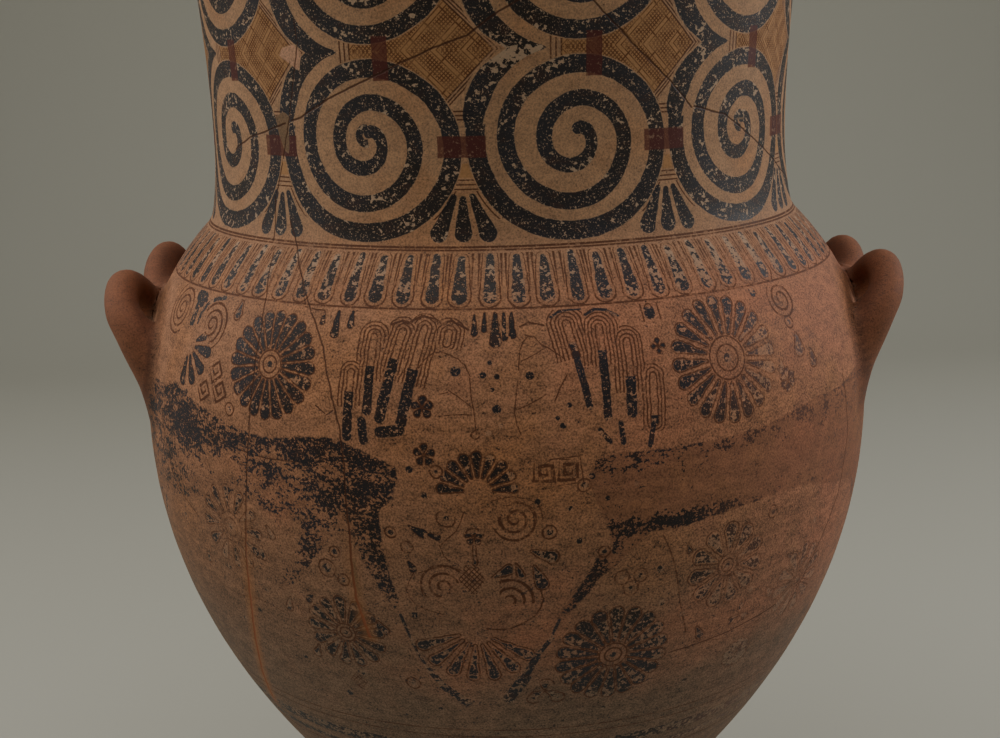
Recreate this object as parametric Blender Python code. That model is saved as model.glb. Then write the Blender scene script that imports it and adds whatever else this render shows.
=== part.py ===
"""An ancient painted storage jar: a wide-necked amphora with two double-arched handles.

It is one piece of fired clay. A tall hollow foot carries an egg-shaped body, and a wide
neck rises from the shoulder to a thick collar at the mouth. The walls have their true
thickness, so the jar is open and empty, and the foot is hollow underneath.

Everything is in metres, +Z is up, and the origin is at the middle of the foot's underside.
The two handles stand on the X axis, and the painted front faces -Y.
"""

import math

import bmesh
import bpy
from mathutils import Vector

# Heights along the axis
FOOT_HEIGHT = 0.165
BELLY_HEIGHT = 0.320
SHOULDER_HEIGHT = 0.130
NECK_HEIGHT = 0.235
MOUTH_HEIGHT = 0.050

# Radii of the outside
FOOT_RADIUS = 0.150
STEM_RADIUS = 0.078
BELLY_RADIUS = 0.250
NECK_FOOT_RADIUS = 0.1986
NECK_WAIST_RADIUS = 0.1937
NECK_TOP_RADIUS = 0.2095
LIP_RADIUS = 0.238

# Smaller forms of the outside
FOOT_EDGE_HEIGHT = 0.016
STEM_RING_RADIUS = 0.086
STEM_RING_HEIGHT = 0.012
NECK_WAIST_RISE = 0.050
LIP_FACE_HEIGHT = 0.026
LIP_ROUNDING = 0.006

# Walls
WALL = 0.010
NECK_WALL = 0.009
FOOT_WALL = 0.013
FLOOR_THICKNESS = 0.016

# How the curves bend: the higher the power, the fuller the curve is at the belly
BELLY_POWER = 2.1
SHOULDER_POWER = 2.6
FOOT_POWER = 2.4

# The double-arched handles, each one thick coil of clay
COIL_RADIUS = 0.0115
COIL_ROOT_RADIUS = 0.0167
ARCH_TOP_ALONG = 0.057
ARCH_TOP_DROP = 0.0422
ARCH_STAND_OFF = 0.0285
ROOT_ALONG = 0.084
ROOT_DROP = 0.104
MIDDLE_ROOT_DROP = 0.066
MIDDLE_STUB_DROP = 0.104

# The arches were bent by hand, so the back ones differ a little from the front ones
BACK_ARCH_STRETCH = 1.12
BACK_ARCH_STAND_IN = 0.002
LEFT_BACK_ARCH_RISE = 0.003
RIGHT_BACK_ARCH_RISE = -0.006

# How finely the round forms are faceted
SEGMENTS = 64
COIL_POINTS = 28
COIL_BEVEL_RESOLUTION = 2
OVERSHOOT = 0.020

# Heights that follow from the sizes above
FLOOR_Z = FOOT_HEIGHT
BELLY_Z = FOOT_HEIGHT + BELLY_HEIGHT
NECK_Z = BELLY_Z + SHOULDER_HEIGHT
NECK_TOP_Z = NECK_Z + NECK_HEIGHT
MOUTH_Z = NECK_TOP_Z + MOUTH_HEIGHT

CLAY_COLOUR = (0.48, 0.24, 0.13, 1.0)
CLAY_ROUGHNESS = 0.75


def clear_scene():
    for thing in list(bpy.data.objects):
        bpy.data.objects.remove(thing)


def fired_clay():
    clay = bpy.data.materials.new("fired_clay")
    clay.use_nodes = True
    shader = clay.node_tree.nodes["Principled BSDF"]
    shader.inputs["Base Color"].default_value = CLAY_COLOUR
    shader.inputs["Roughness"].default_value = CLAY_ROUGHNESS
    shader.inputs["Metallic"].default_value = 0.0
    return clay


def steps(count):
    """The shares 0 to 1 in that many equal steps."""
    return [i / count for i in range(count + 1)]


def foot_outline():
    """From the ground edge up the flaring foot to the ring at its stem."""
    flare_bottom = FOOT_EDGE_HEIGHT
    flare_top = FOOT_HEIGHT - STEM_RING_HEIGHT
    edge_radius = FOOT_RADIUS - FOOT_EDGE_HEIGHT * 0.12
    points = [(FOOT_RADIUS - 0.002, 0.0), (FOOT_RADIUS, 0.003), (FOOT_RADIUS, flare_bottom - 0.003)]
    for share in steps(5):
        radius = STEM_RADIUS + (edge_radius - STEM_RADIUS) * (1 - share) ** FOOT_POWER
        points.append((radius, flare_bottom + share * (flare_top - flare_bottom)))
    return points


def belly_outline():
    """From the ring at the stem up to the widest place."""
    ring_middle = FOOT_HEIGHT - STEM_RING_HEIGHT / 2
    points = [(STEM_RING_RADIUS, ring_middle)]
    for share in steps(9):
        radius = BELLY_RADIUS - (BELLY_RADIUS - STEM_RING_RADIUS) * (1 - share) ** BELLY_POWER
        points.append((radius, FOOT_HEIGHT + share * BELLY_HEIGHT))
    return points


def shoulder_radius(z):
    """The outside radius between the widest place and the neck."""
    share = min(max((z - BELLY_Z) / SHOULDER_HEIGHT, 0.0), 1.0)
    return BELLY_RADIUS - (BELLY_RADIUS - NECK_FOOT_RADIUS) * share ** SHOULDER_POWER


def shoulder_outline():
    """From above the widest place to the low ring where the neck begins."""
    points = []
    for share in steps(8)[1:]:
        z = BELLY_Z + share * SHOULDER_HEIGHT
        points.append((shoulder_radius(z), z))
    return points


def neck_radius(z):
    """The outside radius of the neck, which is narrowest at its waist."""
    rise = z - NECK_Z
    if rise < NECK_WAIST_RISE:
        share = 1 - rise / NECK_WAIST_RISE
        return NECK_WAIST_RADIUS + (NECK_FOOT_RADIUS - NECK_WAIST_RADIUS) * share**2
    share = (rise - NECK_WAIST_RISE) / (NECK_HEIGHT - NECK_WAIST_RISE)
    return NECK_WAIST_RADIUS + (NECK_TOP_RADIUS - NECK_WAIST_RADIUS) * share**1.8


def neck_outline():
    """From the shoulder to the hollow curve under the lip."""
    points = []
    for share in steps(7)[1:]:
        z = NECK_Z + share**1.3 * NECK_HEIGHT
        points.append((neck_radius(z), z))
    return points


def mouth_outline():
    """The hollow curve under the lip, the lip's upright face and its flat top."""
    face_bottom = MOUTH_Z - LIP_FACE_HEIGHT
    points = []
    for share in steps(3)[1:]:
        angle = share * math.pi / 2
        radius = NECK_TOP_RADIUS + (LIP_RADIUS - 0.004 - NECK_TOP_RADIUS) * (1 - math.cos(angle))
        points.append((radius, NECK_TOP_Z + (face_bottom - NECK_TOP_Z) * math.sin(angle)))
    points.append((LIP_RADIUS, face_bottom + 0.003))
    for share in steps(2):
        angle = share * math.pi / 2
        radius = LIP_RADIUS - LIP_ROUNDING * (1 - math.cos(angle))
        points.append((radius, MOUTH_Z - LIP_ROUNDING * (1 - math.sin(angle))))
    return points


def outside_outline():
    return foot_outline() + belly_outline() + shoulder_outline() + neck_outline() + mouth_outline()


def pushed_in(outline, depth):
    """The outline moved inwards, square to itself, by a wall's thickness."""
    moved = []
    for i, (radius, z) in enumerate(outline):
        before = outline[max(i - 1, 0)]
        after = outline[min(i + 1, len(outline) - 1)]
        along = Vector((after[0] - before[0], after[1] - before[1])).normalized()
        moved.append((radius - along.y * depth, z + along.x * depth))
    return moved


def cavity_outline():
    """The inside from the floor on the axis to above the mouth."""
    floor_z = FLOOR_Z + FLOOR_THICKNESS
    belly = [point for point in pushed_in(belly_outline()[1:], WALL) if point[1] > floor_z + 0.008]
    shoulder = pushed_in(shoulder_outline(), WALL)[1::2]
    start = [(0.0, floor_z), (belly[0][0] * 0.6, floor_z)]
    neck = []
    for share in steps(4)[1:]:
        z = NECK_Z + share * NECK_HEIGHT
        neck.append((neck_radius(z) - NECK_WALL, z))
    top = neck[-1][0]
    end = [(top + 0.006, MOUTH_Z - 0.012), (top + 0.010, MOUTH_Z + OVERSHOOT), (0.0, MOUTH_Z + OVERSHOOT)]
    return start + belly[::2] + shoulder + neck + end


def foot_hollow_outline():
    """The hollow under the foot, from below the ground to its top on the axis."""
    roof_z = FOOT_HEIGHT - FLOOR_THICKNESS
    flare = []
    for radius, z in pushed_in(foot_outline()[2:], FOOT_WALL):
        if 0.004 < z < roof_z - 0.012:
            flare.append((radius, z))
    first = (flare[0][0], -OVERSHOOT)
    roof = [(flare[-1][0] * 0.8, roof_z - 0.003), (0.0, roof_z)]
    return [(0.0, -OVERSHOOT), first] + flare + roof


def turned(name, outline):
    """A closed solid turned round the Z axis, as on a potter's wheel."""
    shape = bmesh.new()
    corners = [shape.verts.new((radius, 0.0, z)) for radius, z in outline]
    edges = [shape.edges.new(pair) for pair in zip(corners, corners[1:])]
    bmesh.ops.spin(
        shape,
        geom=corners + edges,
        cent=(0.0, 0.0, 0.0),
        axis=(0.0, 0.0, 1.0),
        angle=2 * math.pi,
        steps=SEGMENTS,
        use_merge=True,
    )
    bmesh.ops.remove_doubles(shape, verts=shape.verts, dist=0.00001)
    bmesh.ops.recalc_face_normals(shape, faces=shape.faces)
    mesh = bpy.data.meshes.new(name)
    shape.to_mesh(mesh)
    shape.free()
    made = bpy.data.objects.new(name, mesh)
    bpy.context.scene.collection.objects.link(made)
    return made


def smooth_point(keys, share):
    """A point on the smooth curve through the keys, each a tuple of numbers."""
    place = share * (len(keys) - 1)
    i = min(int(place), len(keys) - 2)
    t = place - i
    a, b, c, d = (keys[min(max(i + k, 0), len(keys) - 1)] for k in (-1, 0, 1, 2))
    point = []
    for p, q, r, s in zip(a, b, c, d):
        bend = 2 * p - 5 * q + 4 * r - s
        rest = 3 * q - p - 3 * r + s
        point.append(0.5 * (2 * q + (r - p) * t + bend * t * t + rest * t**3))
    return point


def front_arch_keys():
    """The front arch as (along the wall, stand-off, drop below the neck, coil radius).

    It starts inside the wall at the front root, rises clear of the shoulder, arches over
    and comes down onto the wall at the middle root.
    """
    low, high = ROOT_DROP, ARCH_TOP_DROP
    reach = ARCH_STAND_OFF
    return [
        (-0.93 * ROOT_ALONG, -0.018, low + 0.018, COIL_ROOT_RADIUS),
        (-0.98 * ROOT_ALONG, -0.007, low - 0.008, COIL_ROOT_RADIUS),
        (-ROOT_ALONG, 0.42 * reach, low - 0.034, COIL_RADIUS * 1.15),
        (-0.91 * ROOT_ALONG, 0.86 * reach, high + 0.0123, COIL_RADIUS),
        (-ARCH_TOP_ALONG, reach, high, COIL_RADIUS),
        (-0.65 * ARCH_TOP_ALONG, 0.75 * reach, high + 0.004, COIL_RADIUS * 1.02),
        (-0.33 * ARCH_TOP_ALONG, 0.32 * reach, high + 0.0165, COIL_RADIUS * 1.10),
        (0.0, 0.0, MIDDLE_ROOT_DROP, COIL_RADIUS * 1.25),
    ]


def handle_keys(side):
    """Both arches of the handle at +X or -X, from the front root to the back root."""
    rise = LEFT_BACK_ARCH_RISE if side < 0 else RIGHT_BACK_ARCH_RISE
    keys = front_arch_keys()
    for along, stand_off, drop, radius in keys[-2::-1]:
        share = min(-along / ARCH_TOP_ALONG, 1.0)
        stretch = 1 + (BACK_ARCH_STRETCH - 1) * share
        stand_in = BACK_ARCH_STAND_IN * share if stand_off > 0 else 0.0
        keys.append((-along * stretch, stand_off - stand_in, drop - rise * share, radius))
    return keys


def handle_point(key, side):
    """The place in space of a key of the coil, on the handle at +X or -X."""
    along, stand_off, drop, _ = key
    z = NECK_Z - drop
    radius = shoulder_radius(z) + stand_off
    angle = math.asin(max(min(along / radius, 1.0), -1.0))
    return Vector((side * radius * math.cos(angle), radius * math.sin(angle), z))


def coil(name, places, radii):
    """A round coil of clay along those places, closed at both ends."""
    line = bpy.data.curves.new(name, "CURVE")
    line.dimensions = "3D"
    line.bevel_depth = 1.0
    line.bevel_resolution = COIL_BEVEL_RESOLUTION
    line.use_fill_caps = True
    spline = line.splines.new("POLY")
    spline.points.add(len(places) - 1)
    for point, place, radius in zip(spline.points, places, radii):
        point.co = (*place, 1.0)
        point.radius = radius
    bent = bpy.data.objects.new(name, line)
    bpy.context.scene.collection.objects.link(bent)
    bpy.context.view_layer.update()
    mesh = bpy.data.meshes.new_from_object(bent)
    bpy.data.objects.remove(bent)
    shape = bmesh.new()
    shape.from_mesh(mesh)
    bmesh.ops.remove_doubles(shape, verts=shape.verts, dist=0.00001)
    bmesh.ops.recalc_face_normals(shape, faces=shape.faces)
    shape.to_mesh(mesh)
    shape.free()
    made = bpy.data.objects.new(name, mesh)
    bpy.context.scene.collection.objects.link(made)
    return made


def double_arch(side):
    """One handle: two arches of a single coil, and the stub that roots their middle."""
    keys = handle_keys(side)
    places = []
    radii = []
    for share in steps(COIL_POINTS):
        key = smooth_point(keys, share)
        places.append(handle_point(key, side))
        radii.append(key[3])
    label = "left" if side < 0 else "right"
    arches = coil(f"arches_{label}", places, radii)
    stub_keys = [
        (0.0, 0.002, MIDDLE_ROOT_DROP - 0.006, COIL_RADIUS),
        (0.0, 0.001, MIDDLE_ROOT_DROP + 0.008, COIL_RADIUS * 1.2),
        (0.0, -0.006, MIDDLE_STUB_DROP - 0.016, COIL_RADIUS * 1.2),
        (0.0, -0.016, MIDDLE_STUB_DROP, COIL_RADIUS * 1.1),
    ]
    stub_places = []
    stub_radii = []
    for share in steps(5):
        key = smooth_point(stub_keys, share)
        stub_places.append(handle_point(key, side))
        stub_radii.append(key[3])
    stub = coil(f"stub_{label}", stub_places, stub_radii)
    return [arches, stub]


def combine(target, other, operation):
    """Joins the other solid to the target, or cuts it away, and keeps only the result."""
    step = target.modifiers.new(operation.lower(), "BOOLEAN")
    step.operation = operation
    step.solver = "EXACT"
    step.object = other
    bpy.context.view_layer.update()
    graph = bpy.context.evaluated_depsgraph_get()
    result = bpy.data.meshes.new_from_object(target.evaluated_get(graph))
    target.modifiers.remove(step)
    old = target.data
    target.data = result
    bpy.data.meshes.remove(old)
    bpy.data.objects.remove(other)


def amphora():
    outline = outside_outline()
    closed = [(0.0, 0.0)] + outline + [(0.0, MOUTH_Z)]
    jar = turned("amphora", closed)
    for side in (-1, 1):
        for piece in double_arch(side):
            combine(jar, piece, "UNION")
    combine(jar, turned("cavity", cavity_outline()), "DIFFERENCE")
    combine(jar, turned("foot_hollow", foot_hollow_outline()), "DIFFERENCE")
    jar.data.materials.clear()
    jar.data.materials.append(fired_clay())
    jar.data.shade_smooth()
    jar.data.set_sharp_from_angle(angle=math.radians(40))
    return jar


clear_scene()
amphora()
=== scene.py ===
# %% [markdown]
# # An ancient painted pottery jar
#
# This lesson dresses a large storage jar of fired clay: a round belly on a flaring foot, a tall
# wide neck, and on each side a handle of two arches bent from one coil. The plain solid comes
# packed from the CAD step. Here the same form is turned again with many more points, and the
# slip painting, the wear and the old mends are painted on with nodes, without any picture.
#
# Everything is in metres, upright on the floor, with the painted front towards -Y.

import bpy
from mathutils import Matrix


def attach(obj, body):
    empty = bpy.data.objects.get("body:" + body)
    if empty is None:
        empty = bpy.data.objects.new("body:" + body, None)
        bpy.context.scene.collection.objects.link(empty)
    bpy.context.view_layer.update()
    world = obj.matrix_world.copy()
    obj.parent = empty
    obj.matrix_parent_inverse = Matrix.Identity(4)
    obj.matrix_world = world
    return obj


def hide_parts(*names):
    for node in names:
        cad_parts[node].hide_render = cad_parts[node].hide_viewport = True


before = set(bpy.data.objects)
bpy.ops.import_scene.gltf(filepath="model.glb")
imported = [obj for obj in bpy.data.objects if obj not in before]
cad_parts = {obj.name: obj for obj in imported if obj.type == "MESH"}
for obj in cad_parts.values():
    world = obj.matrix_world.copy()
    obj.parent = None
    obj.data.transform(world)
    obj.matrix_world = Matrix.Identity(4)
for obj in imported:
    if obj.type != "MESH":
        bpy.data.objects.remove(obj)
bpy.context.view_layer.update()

# %% [markdown]
# ## The sizes of the jar
#
# The jar is described from the ground up: the foot, the belly to its widest place, the shoulder,
# the neck and the mouth. These are the sizes that its solid was turned from, so that the dressed
# jar sits exactly round the solid. A potter would keep the same few measures on a stick.

# %% Sizes
import math

import bmesh
import bpy
import numpy as np
from mathutils import Matrix, Vector

FOOT_Z, BELLY_Z, NECK_Z, NECK_TOP_Z, MOUTH_Z = 0.165, 0.485, 0.615, 0.850, 0.900
FOOT_RADIUS, STEM_RADIUS, STEM_RING_RADIUS = 0.150, 0.078, 0.086
BELLY_RADIUS, NECK_FOOT_RADIUS, NECK_WAIST_RADIUS = 0.250, 0.1986, 0.1937
NECK_TOP_RADIUS, LIP_RADIUS, LIP_FACE, LIP_ROUNDING = 0.2095, 0.238, 0.026, 0.006
NECK_WAIST_RISE = 0.050
FOOT_EDGE, STEM_RING_HEIGHT = 0.016, 0.012
WALL, FOOT_WALL, FLOOR_THICKNESS = 0.010, 0.013, 0.016
COIL_RADIUS, COIL_ROOT_RADIUS = 0.0115, 0.0167
HANDLE_SIDE, HANDLE_LOW, HANDLE_HIGH = 0.17, 0.44, 0.66
print("the jar is", MOUTH_Z, "m tall and", 2 * BELLY_RADIUS, "m wide at the belly")

# %% [markdown]
# ## The outline
#
# A thrown jar is the same all the way round, so one outline describes it. It starts on the
# inside at the middle of the floor, climbs the inner wall, goes over the lip, comes down the
# outer wall and ends under the foot. A straight-sided copy of the solid would show its facets,
# so the outline is worked out from the same curves at a close spacing, and closest where the
# painting is finest.

# %% Outline


def outer_radius(z):
    """The radius of the outside at each height, from the stem's ring to the neck's top."""
    z = np.asarray(z, dtype=float)
    below = np.clip((BELLY_Z - z) / (BELLY_Z - FOOT_Z), 0, 1)
    lower = BELLY_RADIUS - (BELLY_RADIUS - STEM_RING_RADIUS) * below**2.1
    above = np.clip((z - BELLY_Z) / (NECK_Z - BELLY_Z), 0, 1)
    shoulder = BELLY_RADIUS - (BELLY_RADIUS - NECK_FOOT_RADIUS) * above**2.6
    rise = z - NECK_Z
    dip = np.clip(1 - rise / NECK_WAIST_RISE, 0, 1)
    neck_foot = NECK_WAIST_RADIUS + (NECK_FOOT_RADIUS - NECK_WAIST_RADIUS) * dip**2
    climb = np.clip((rise - NECK_WAIST_RISE) / (NECK_TOP_Z - NECK_Z - NECK_WAIST_RISE), 0, 1)
    neck = NECK_WAIST_RADIUS + (NECK_TOP_RADIUS - NECK_WAIST_RADIUS) * climb**1.8
    neck = np.where(rise < NECK_WAIST_RISE, neck_foot, neck)
    return np.where(z < BELLY_Z, lower, np.where(z < NECK_Z, shoulder, neck))


def heights(low, high, spacing):
    """Evenly spaced heights from low to high, about so far apart."""
    return np.linspace(low, high, max(2, round(abs(high - low) / spacing) + 1))


def wall_points(spans):
    """The outside over several spans, each with its own spacing."""
    z = np.concatenate([heights(*span)[1:] for span in spans])
    return np.column_stack([outer_radius(z), z])


def rounded(points, passes):
    """Takes the corners off a run of points, and keeps its two ends."""
    points = np.array(points, dtype=float)
    for _ in range(passes):
        points[1:-1] = (points[:-2] + 2 * points[1:-1] + points[2:]) / 4
    return points


def resampled(points, spacing):
    """The same run of points, evenly spaced along its length."""
    points = np.array(points, dtype=float)
    along = np.concatenate([[0], np.cumsum(np.hypot(*np.diff(points, axis=0).T))])
    at = heights(0, along[-1], spacing)
    return np.column_stack([np.interp(at, along, points[:, k]) for k in (0, 1)])


def pushed_in(points, depth):
    """The run of points moved sideways by the wall's thickness."""
    along = np.gradient(points, axis=0)
    along /= np.linalg.norm(along, axis=1, keepdims=True)
    return points + np.column_stack([-along[:, 1], along[:, 0]]) * depth


flare = np.linspace(0, 1, 25)
foot = np.column_stack([
    STEM_RADIUS + (FOOT_RADIUS - 0.002 - STEM_RADIUS) * (1 - flare) ** 2.4,
    FOOT_EDGE + flare * (FOOT_Z - STEM_RING_HEIGHT - FOOT_EDGE),
])
foot_edge = [
    (FOOT_RADIUS - 0.0025, 0.0), (FOOT_RADIUS - 0.0003, 0.0022), (FOOT_RADIUS - 0.0003, 0.0125),
]
stem_top = FOOT_Z + 0.004
stem_ring = [
    (STEM_RADIUS + 0.0015, 0.153), (0.0845, 0.1555), (0.0862, 0.159), (0.0852, 0.1625),
    (float(outer_radius(stem_top)), stem_top),
]
lower_part = resampled(np.vstack([foot_edge, foot[:-1], stem_ring]), 0.0060)
outer_wall = wall_points([
    (stem_top, 0.300, 0.0090),
    (0.300, 0.600, 0.0034),
    (0.600, NECK_Z, 0.0030),
    (NECK_Z, NECK_TOP_Z, 0.0090),
])
turn_out = np.linspace(0, math.pi / 2, 7)[1:]
face_low = MOUTH_Z - LIP_FACE
mouth = np.column_stack([
    NECK_TOP_RADIUS + (LIP_RADIUS - 0.004 - NECK_TOP_RADIUS) * (1 - np.cos(turn_out)),
    NECK_TOP_Z + (face_low - NECK_TOP_Z) * np.sin(turn_out),
])
lip = np.column_stack([
    LIP_RADIUS - LIP_ROUNDING * (1 - np.cos(turn_out)),
    MOUTH_Z - 0.0003 - LIP_ROUNDING * (1 - np.sin(turn_out)),
])
lip_face = [(LIP_RADIUS - 0.0012, face_low + 0.001), (LIP_RADIUS - 0.0002, face_low + 0.004),
            (LIP_RADIUS - 0.0002, MOUTH_Z - 0.012)]
lip_inside = [(0.226, MOUTH_Z - 0.0006), (0.2135, MOUTH_Z - 0.004), (0.2045, MOUTH_Z - 0.018)]
outside = np.vstack([lower_part, outer_wall, mouth, lip_face, lip])
inner_wall = pushed_in(wall_points([(0.195, NECK_Z, 0.018), (NECK_Z, NECK_TOP_Z, 0.020)]), WALL)
inner_wall = inner_wall[inner_wall[:, 1] < NECK_TOP_Z - 0.004]
floor_z = FOOT_Z + FLOOR_THICKNESS
cup = [(0.0, floor_z), (0.03, floor_z + 0.0002), (0.058, floor_z + 0.002), (0.078, 0.190)]
inside = np.vstack([cup, inner_wall[inner_wall[:, 1] > 0.197], lip_inside[::-1]])
hollow = pushed_in(np.vstack([foot_edge, foot]), FOOT_WALL)
hollow = hollow[(hollow[:, 1] > 0.003) & (hollow[:, 1] < FOOT_Z - FLOOR_THICKNESS - 0.012)]
under, top = hollow[0, 0] + 0.004, hollow[-1, 0]
roof_z = FOOT_Z - FLOOR_THICKNESS
roof = [(top * 0.8, roof_z - 0.004), (top * 0.4, roof_z - 0.0005), (0.0, roof_z)]
underside = np.vstack([[(under, 0.0)], hollow[::2], roof])
outline = np.vstack([rounded(inside, 2), rounded(outside[::-1], 1), rounded(underside, 1)])
outline[0, 0] = outline[-1, 0] = 0.0
print("the outline has", len(outline), "points")

# %% [markdown]
# ## Talking to node trees
#
# The shape and the finishes are both made with nodes, which could be placed by hand in the
# editor. Written out, each node takes one line with these helpers. Most nodes only do sums, so a
# small class stands for a number on its way through a tree: it can be added, multiplied and
# compared like any number in Python, and it adds the Math nodes as it goes. The result is an
# ordinary node tree that can be opened and changed by hand.

# %% Helpers for objects and nodes


def linked(name, data):
    """A new object in the scene that shows this mesh, curve, light or camera."""
    made = bpy.data.objects.new(name, data)
    bpy.context.scene.collection.objects.link(made)
    return made


def evaluated(thing):
    """The plain mesh that an object has once its modifiers have run."""
    bpy.context.view_layer.update()
    seen = thing.evaluated_get(bpy.context.evaluated_depsgraph_get())
    return bpy.data.meshes.new_from_object(seen)


def plug(tree, place, value):
    """Fills an input with another node's output, with a Wire or with a plain value."""
    value = getattr(value, "socket", value)
    if isinstance(value, bpy.types.NodeSocket):
        tree.links.new(value, place)
    else:
        place.default_value = value


def new_node(tree, kind, settings=None, **links):
    """Adds a node. Each link is named for the input it fills, or i0, i1 for its number."""
    node = tree.nodes.new(kind)
    node.location = (len(tree.nodes) % 14 * 190, -(len(tree.nodes) // 14) * 220)
    for name, value in (settings or {}).items():
        setattr(node, name, value)
    for name, value in links.items():
        plug(tree, node.inputs[int(name[1:]) if name[1:].isdigit() else name], value)
    return node


# %% Numbers in a node tree


class Wire:
    """A number on its way through a node tree."""

    def __init__(self, tree, socket):
        self.tree, self.socket = tree, socket

    def then(self, how, *parts):
        """What one Math node makes of the parts."""
        node = new_node(self.tree, "ShaderNodeMath", {"operation": how})
        for place, part in zip(node.inputs, parts):
            plug(self.tree, place, part)
        return Wire(self.tree, node.outputs[0])

    def __neg__(self):
        return self * -1.0

    def ramp(self, low, high, start=0.0, end=1.0):
        """Goes evenly from start to end as the number goes from low to high, and stays there."""
        node = new_node(self.tree, "ShaderNodeMapRange")
        for place, value in zip(node.inputs, (self, low, high, start, end)):
            plug(self.tree, place, value)
        return Wire(self.tree, node.outputs[0])

    def ink(self, soft=0.22):
        """One inside a shape and nothing outside it, from the distance to its edge."""
        return self.ramp(soft, -soft)

    def stripe(self, pitch):
        """The distance to the nearest of a row of lines that far apart."""
        return abs((self / pitch + 0.5).part() - 0.5) * pitch

    def shaped(self, places, low, high):
        """Follows the smooth curve through pairs of numbers, with results from low to high."""
        node = new_node(self.tree, "ShaderNodeFloatCurve")
        first, last = places[0][0], places[-1][0]
        points = node.mapping.curves[0].points
        for number, (at, value) in enumerate(places):
            spot = ((at - first) / (last - first), (value - low) / (high - low))
            if number < 2:
                points[number].location = spot
            else:
                points.new(*spot)
        node.mapping.update()
        plug(self.tree, node.inputs["Value"], (self - first) / (last - first))
        return Wire(self.tree, node.outputs[0]) * (high - low) + low


for name, how in {
    "__add__": "ADD", "__radd__": "ADD", "__sub__": "SUBTRACT", "__mul__": "MULTIPLY",
    "__rmul__": "MULTIPLY", "__truediv__": "DIVIDE", "__abs__": "ABSOLUTE", "least": "MINIMUM",
    "most": "MAXIMUM", "above": "GREATER_THAN", "below": "LESS_THAN", "whole": "ROUND",
    "floor": "FLOOR", "part": "FRACT", "root": "SQRT", "sine": "SINE", "cosine": "COSINE",
    "angle": "ARCTAN2",
}.items():
    setattr(Wire, name, lambda self, *others, how=how: self.then(how, self, *others))
for name, how in {"__rsub__": "SUBTRACT", "__rtruediv__": "DIVIDE"}.items():
    setattr(Wire, name, lambda self, other, how=how: self.then(how, other, self))


def distance(a, b):
    """The length of a step that goes a one way and b the other."""
    return (a * a + b * b).root()


def split(tree, vector):
    """The three numbers of a vector."""
    parts = new_node(tree, "ShaderNodeSeparateXYZ", i0=vector).outputs
    return [Wire(tree, part) for part in parts]


# %% [markdown]
# ## Turning the outline, as on the wheel
#
# A potter's wheel turns the clay past the hand. Here a Geometry Nodes tree does the same: a
# grid has one row for each point of the outline and one column for each step of the turn, and
# every corner of the grid takes its radius and height from the outline and its direction from
# the column. A Screw modifier would space the columns evenly. The tree instead sets them closer
# together at the painted front, through one named input, because fine brushwork needs them.

# %% The wheel
MERGE_DISTANCE = 0.00002


def geometry_tree(name, inputs):
    """A new tree with a geometry socket on each side, and the named inputs."""
    tree = bpy.data.node_groups.new(name, "GeometryNodeTree")
    tree.interface.new_socket("Geometry", in_out="INPUT", socket_type="NodeSocketGeometry")
    tree.interface.new_socket("Geometry", in_out="OUTPUT", socket_type="NodeSocketGeometry")
    for label, kind in inputs.items():
        tree.interface.new_socket(label, in_out="INPUT", socket_type=f"NodeSocket{kind}")
    return tree, tree.nodes.new("NodeGroupInput").outputs


def end_tree(tree, shape, clay):
    """Ends a tree: doubles merged, instances made real, and the material set."""
    joined = new_node(tree, "GeometryNodeMergeByDistance", i0=shape, Distance=MERGE_DISTANCE)
    real = new_node(tree, "GeometryNodeRealizeInstances", i0=joined.outputs[0])
    done = new_node(tree, "GeometryNodeSetMaterial", i0=real.outputs[0], Material=clay)
    tree.links.new(done.outputs[0], tree.nodes.new("NodeGroupOutput").inputs[0])
    return tree


def grown(base, tree, values):
    """Runs the tree on the base object and gives back its result as a plain mesh."""
    step = base.modifiers.new(tree.name, "NODES")
    step.node_group = tree
    for item in tree.interface.items_tree:
        if item.in_out == "INPUT" and item.name in values:
            step[item.identifier] = values[item.name]
    mesh = evaluated(base)
    bpy.data.objects.remove(base)
    return mesh


def wheel_tree():
    tree, given = geometry_tree(
        "wheel", {"Columns": "Int", "Front closeness": "Float", "Clay": "Material"},
    )
    size = new_node(tree, "GeometryNodeAttributeDomainSize", i0=given["Geometry"])
    rows, columns = size.outputs["Point Count"], Wire(tree, given["Columns"])
    grid = new_node(tree, "GeometryNodeMeshGrid", i2=columns + 1, i3=rows)
    number = Wire(tree, new_node(tree, "GeometryNodeInputIndex").outputs[0])
    column = (number / rows).floor()
    row = new_node(tree, "FunctionNodeIntegerMath", {"operation": "MODULO"}, i0=number, i1=rows)
    position = new_node(tree, "GeometryNodeInputPosition").outputs[0]
    sample = new_node(
        tree, "GeometryNodeSampleIndex", {"data_type": "FLOAT_VECTOR"},
        i0=given["Geometry"], i1=position, i2=row.outputs[0],
    )
    radius, _, height = split(tree, sample.outputs[0])
    even = column / columns * (2 * math.pi)
    turn = even - even.sine() * given["Front closeness"]
    x, y = turn.sine() * radius, -(turn.cosine() * radius)
    spot = new_node(tree, "ShaderNodeCombineXYZ", i0=x, i1=y, i2=height).outputs[0]
    moved = new_node(tree, "GeometryNodeSetPosition", i0=grid.outputs["Mesh"], Position=spot)
    return end_tree(tree, moved.outputs[0], given["Clay"])


def profile_object(points):
    """The outline as a chain of edges, for the wheel to turn."""
    mesh = bpy.data.meshes.new("outline")
    edges = [(i, i + 1) for i in range(len(points) - 1)]
    mesh.from_pydata([(float(r), 0.0, float(z)) for r, z in points], edges, [])
    return linked("outline", mesh)


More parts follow.
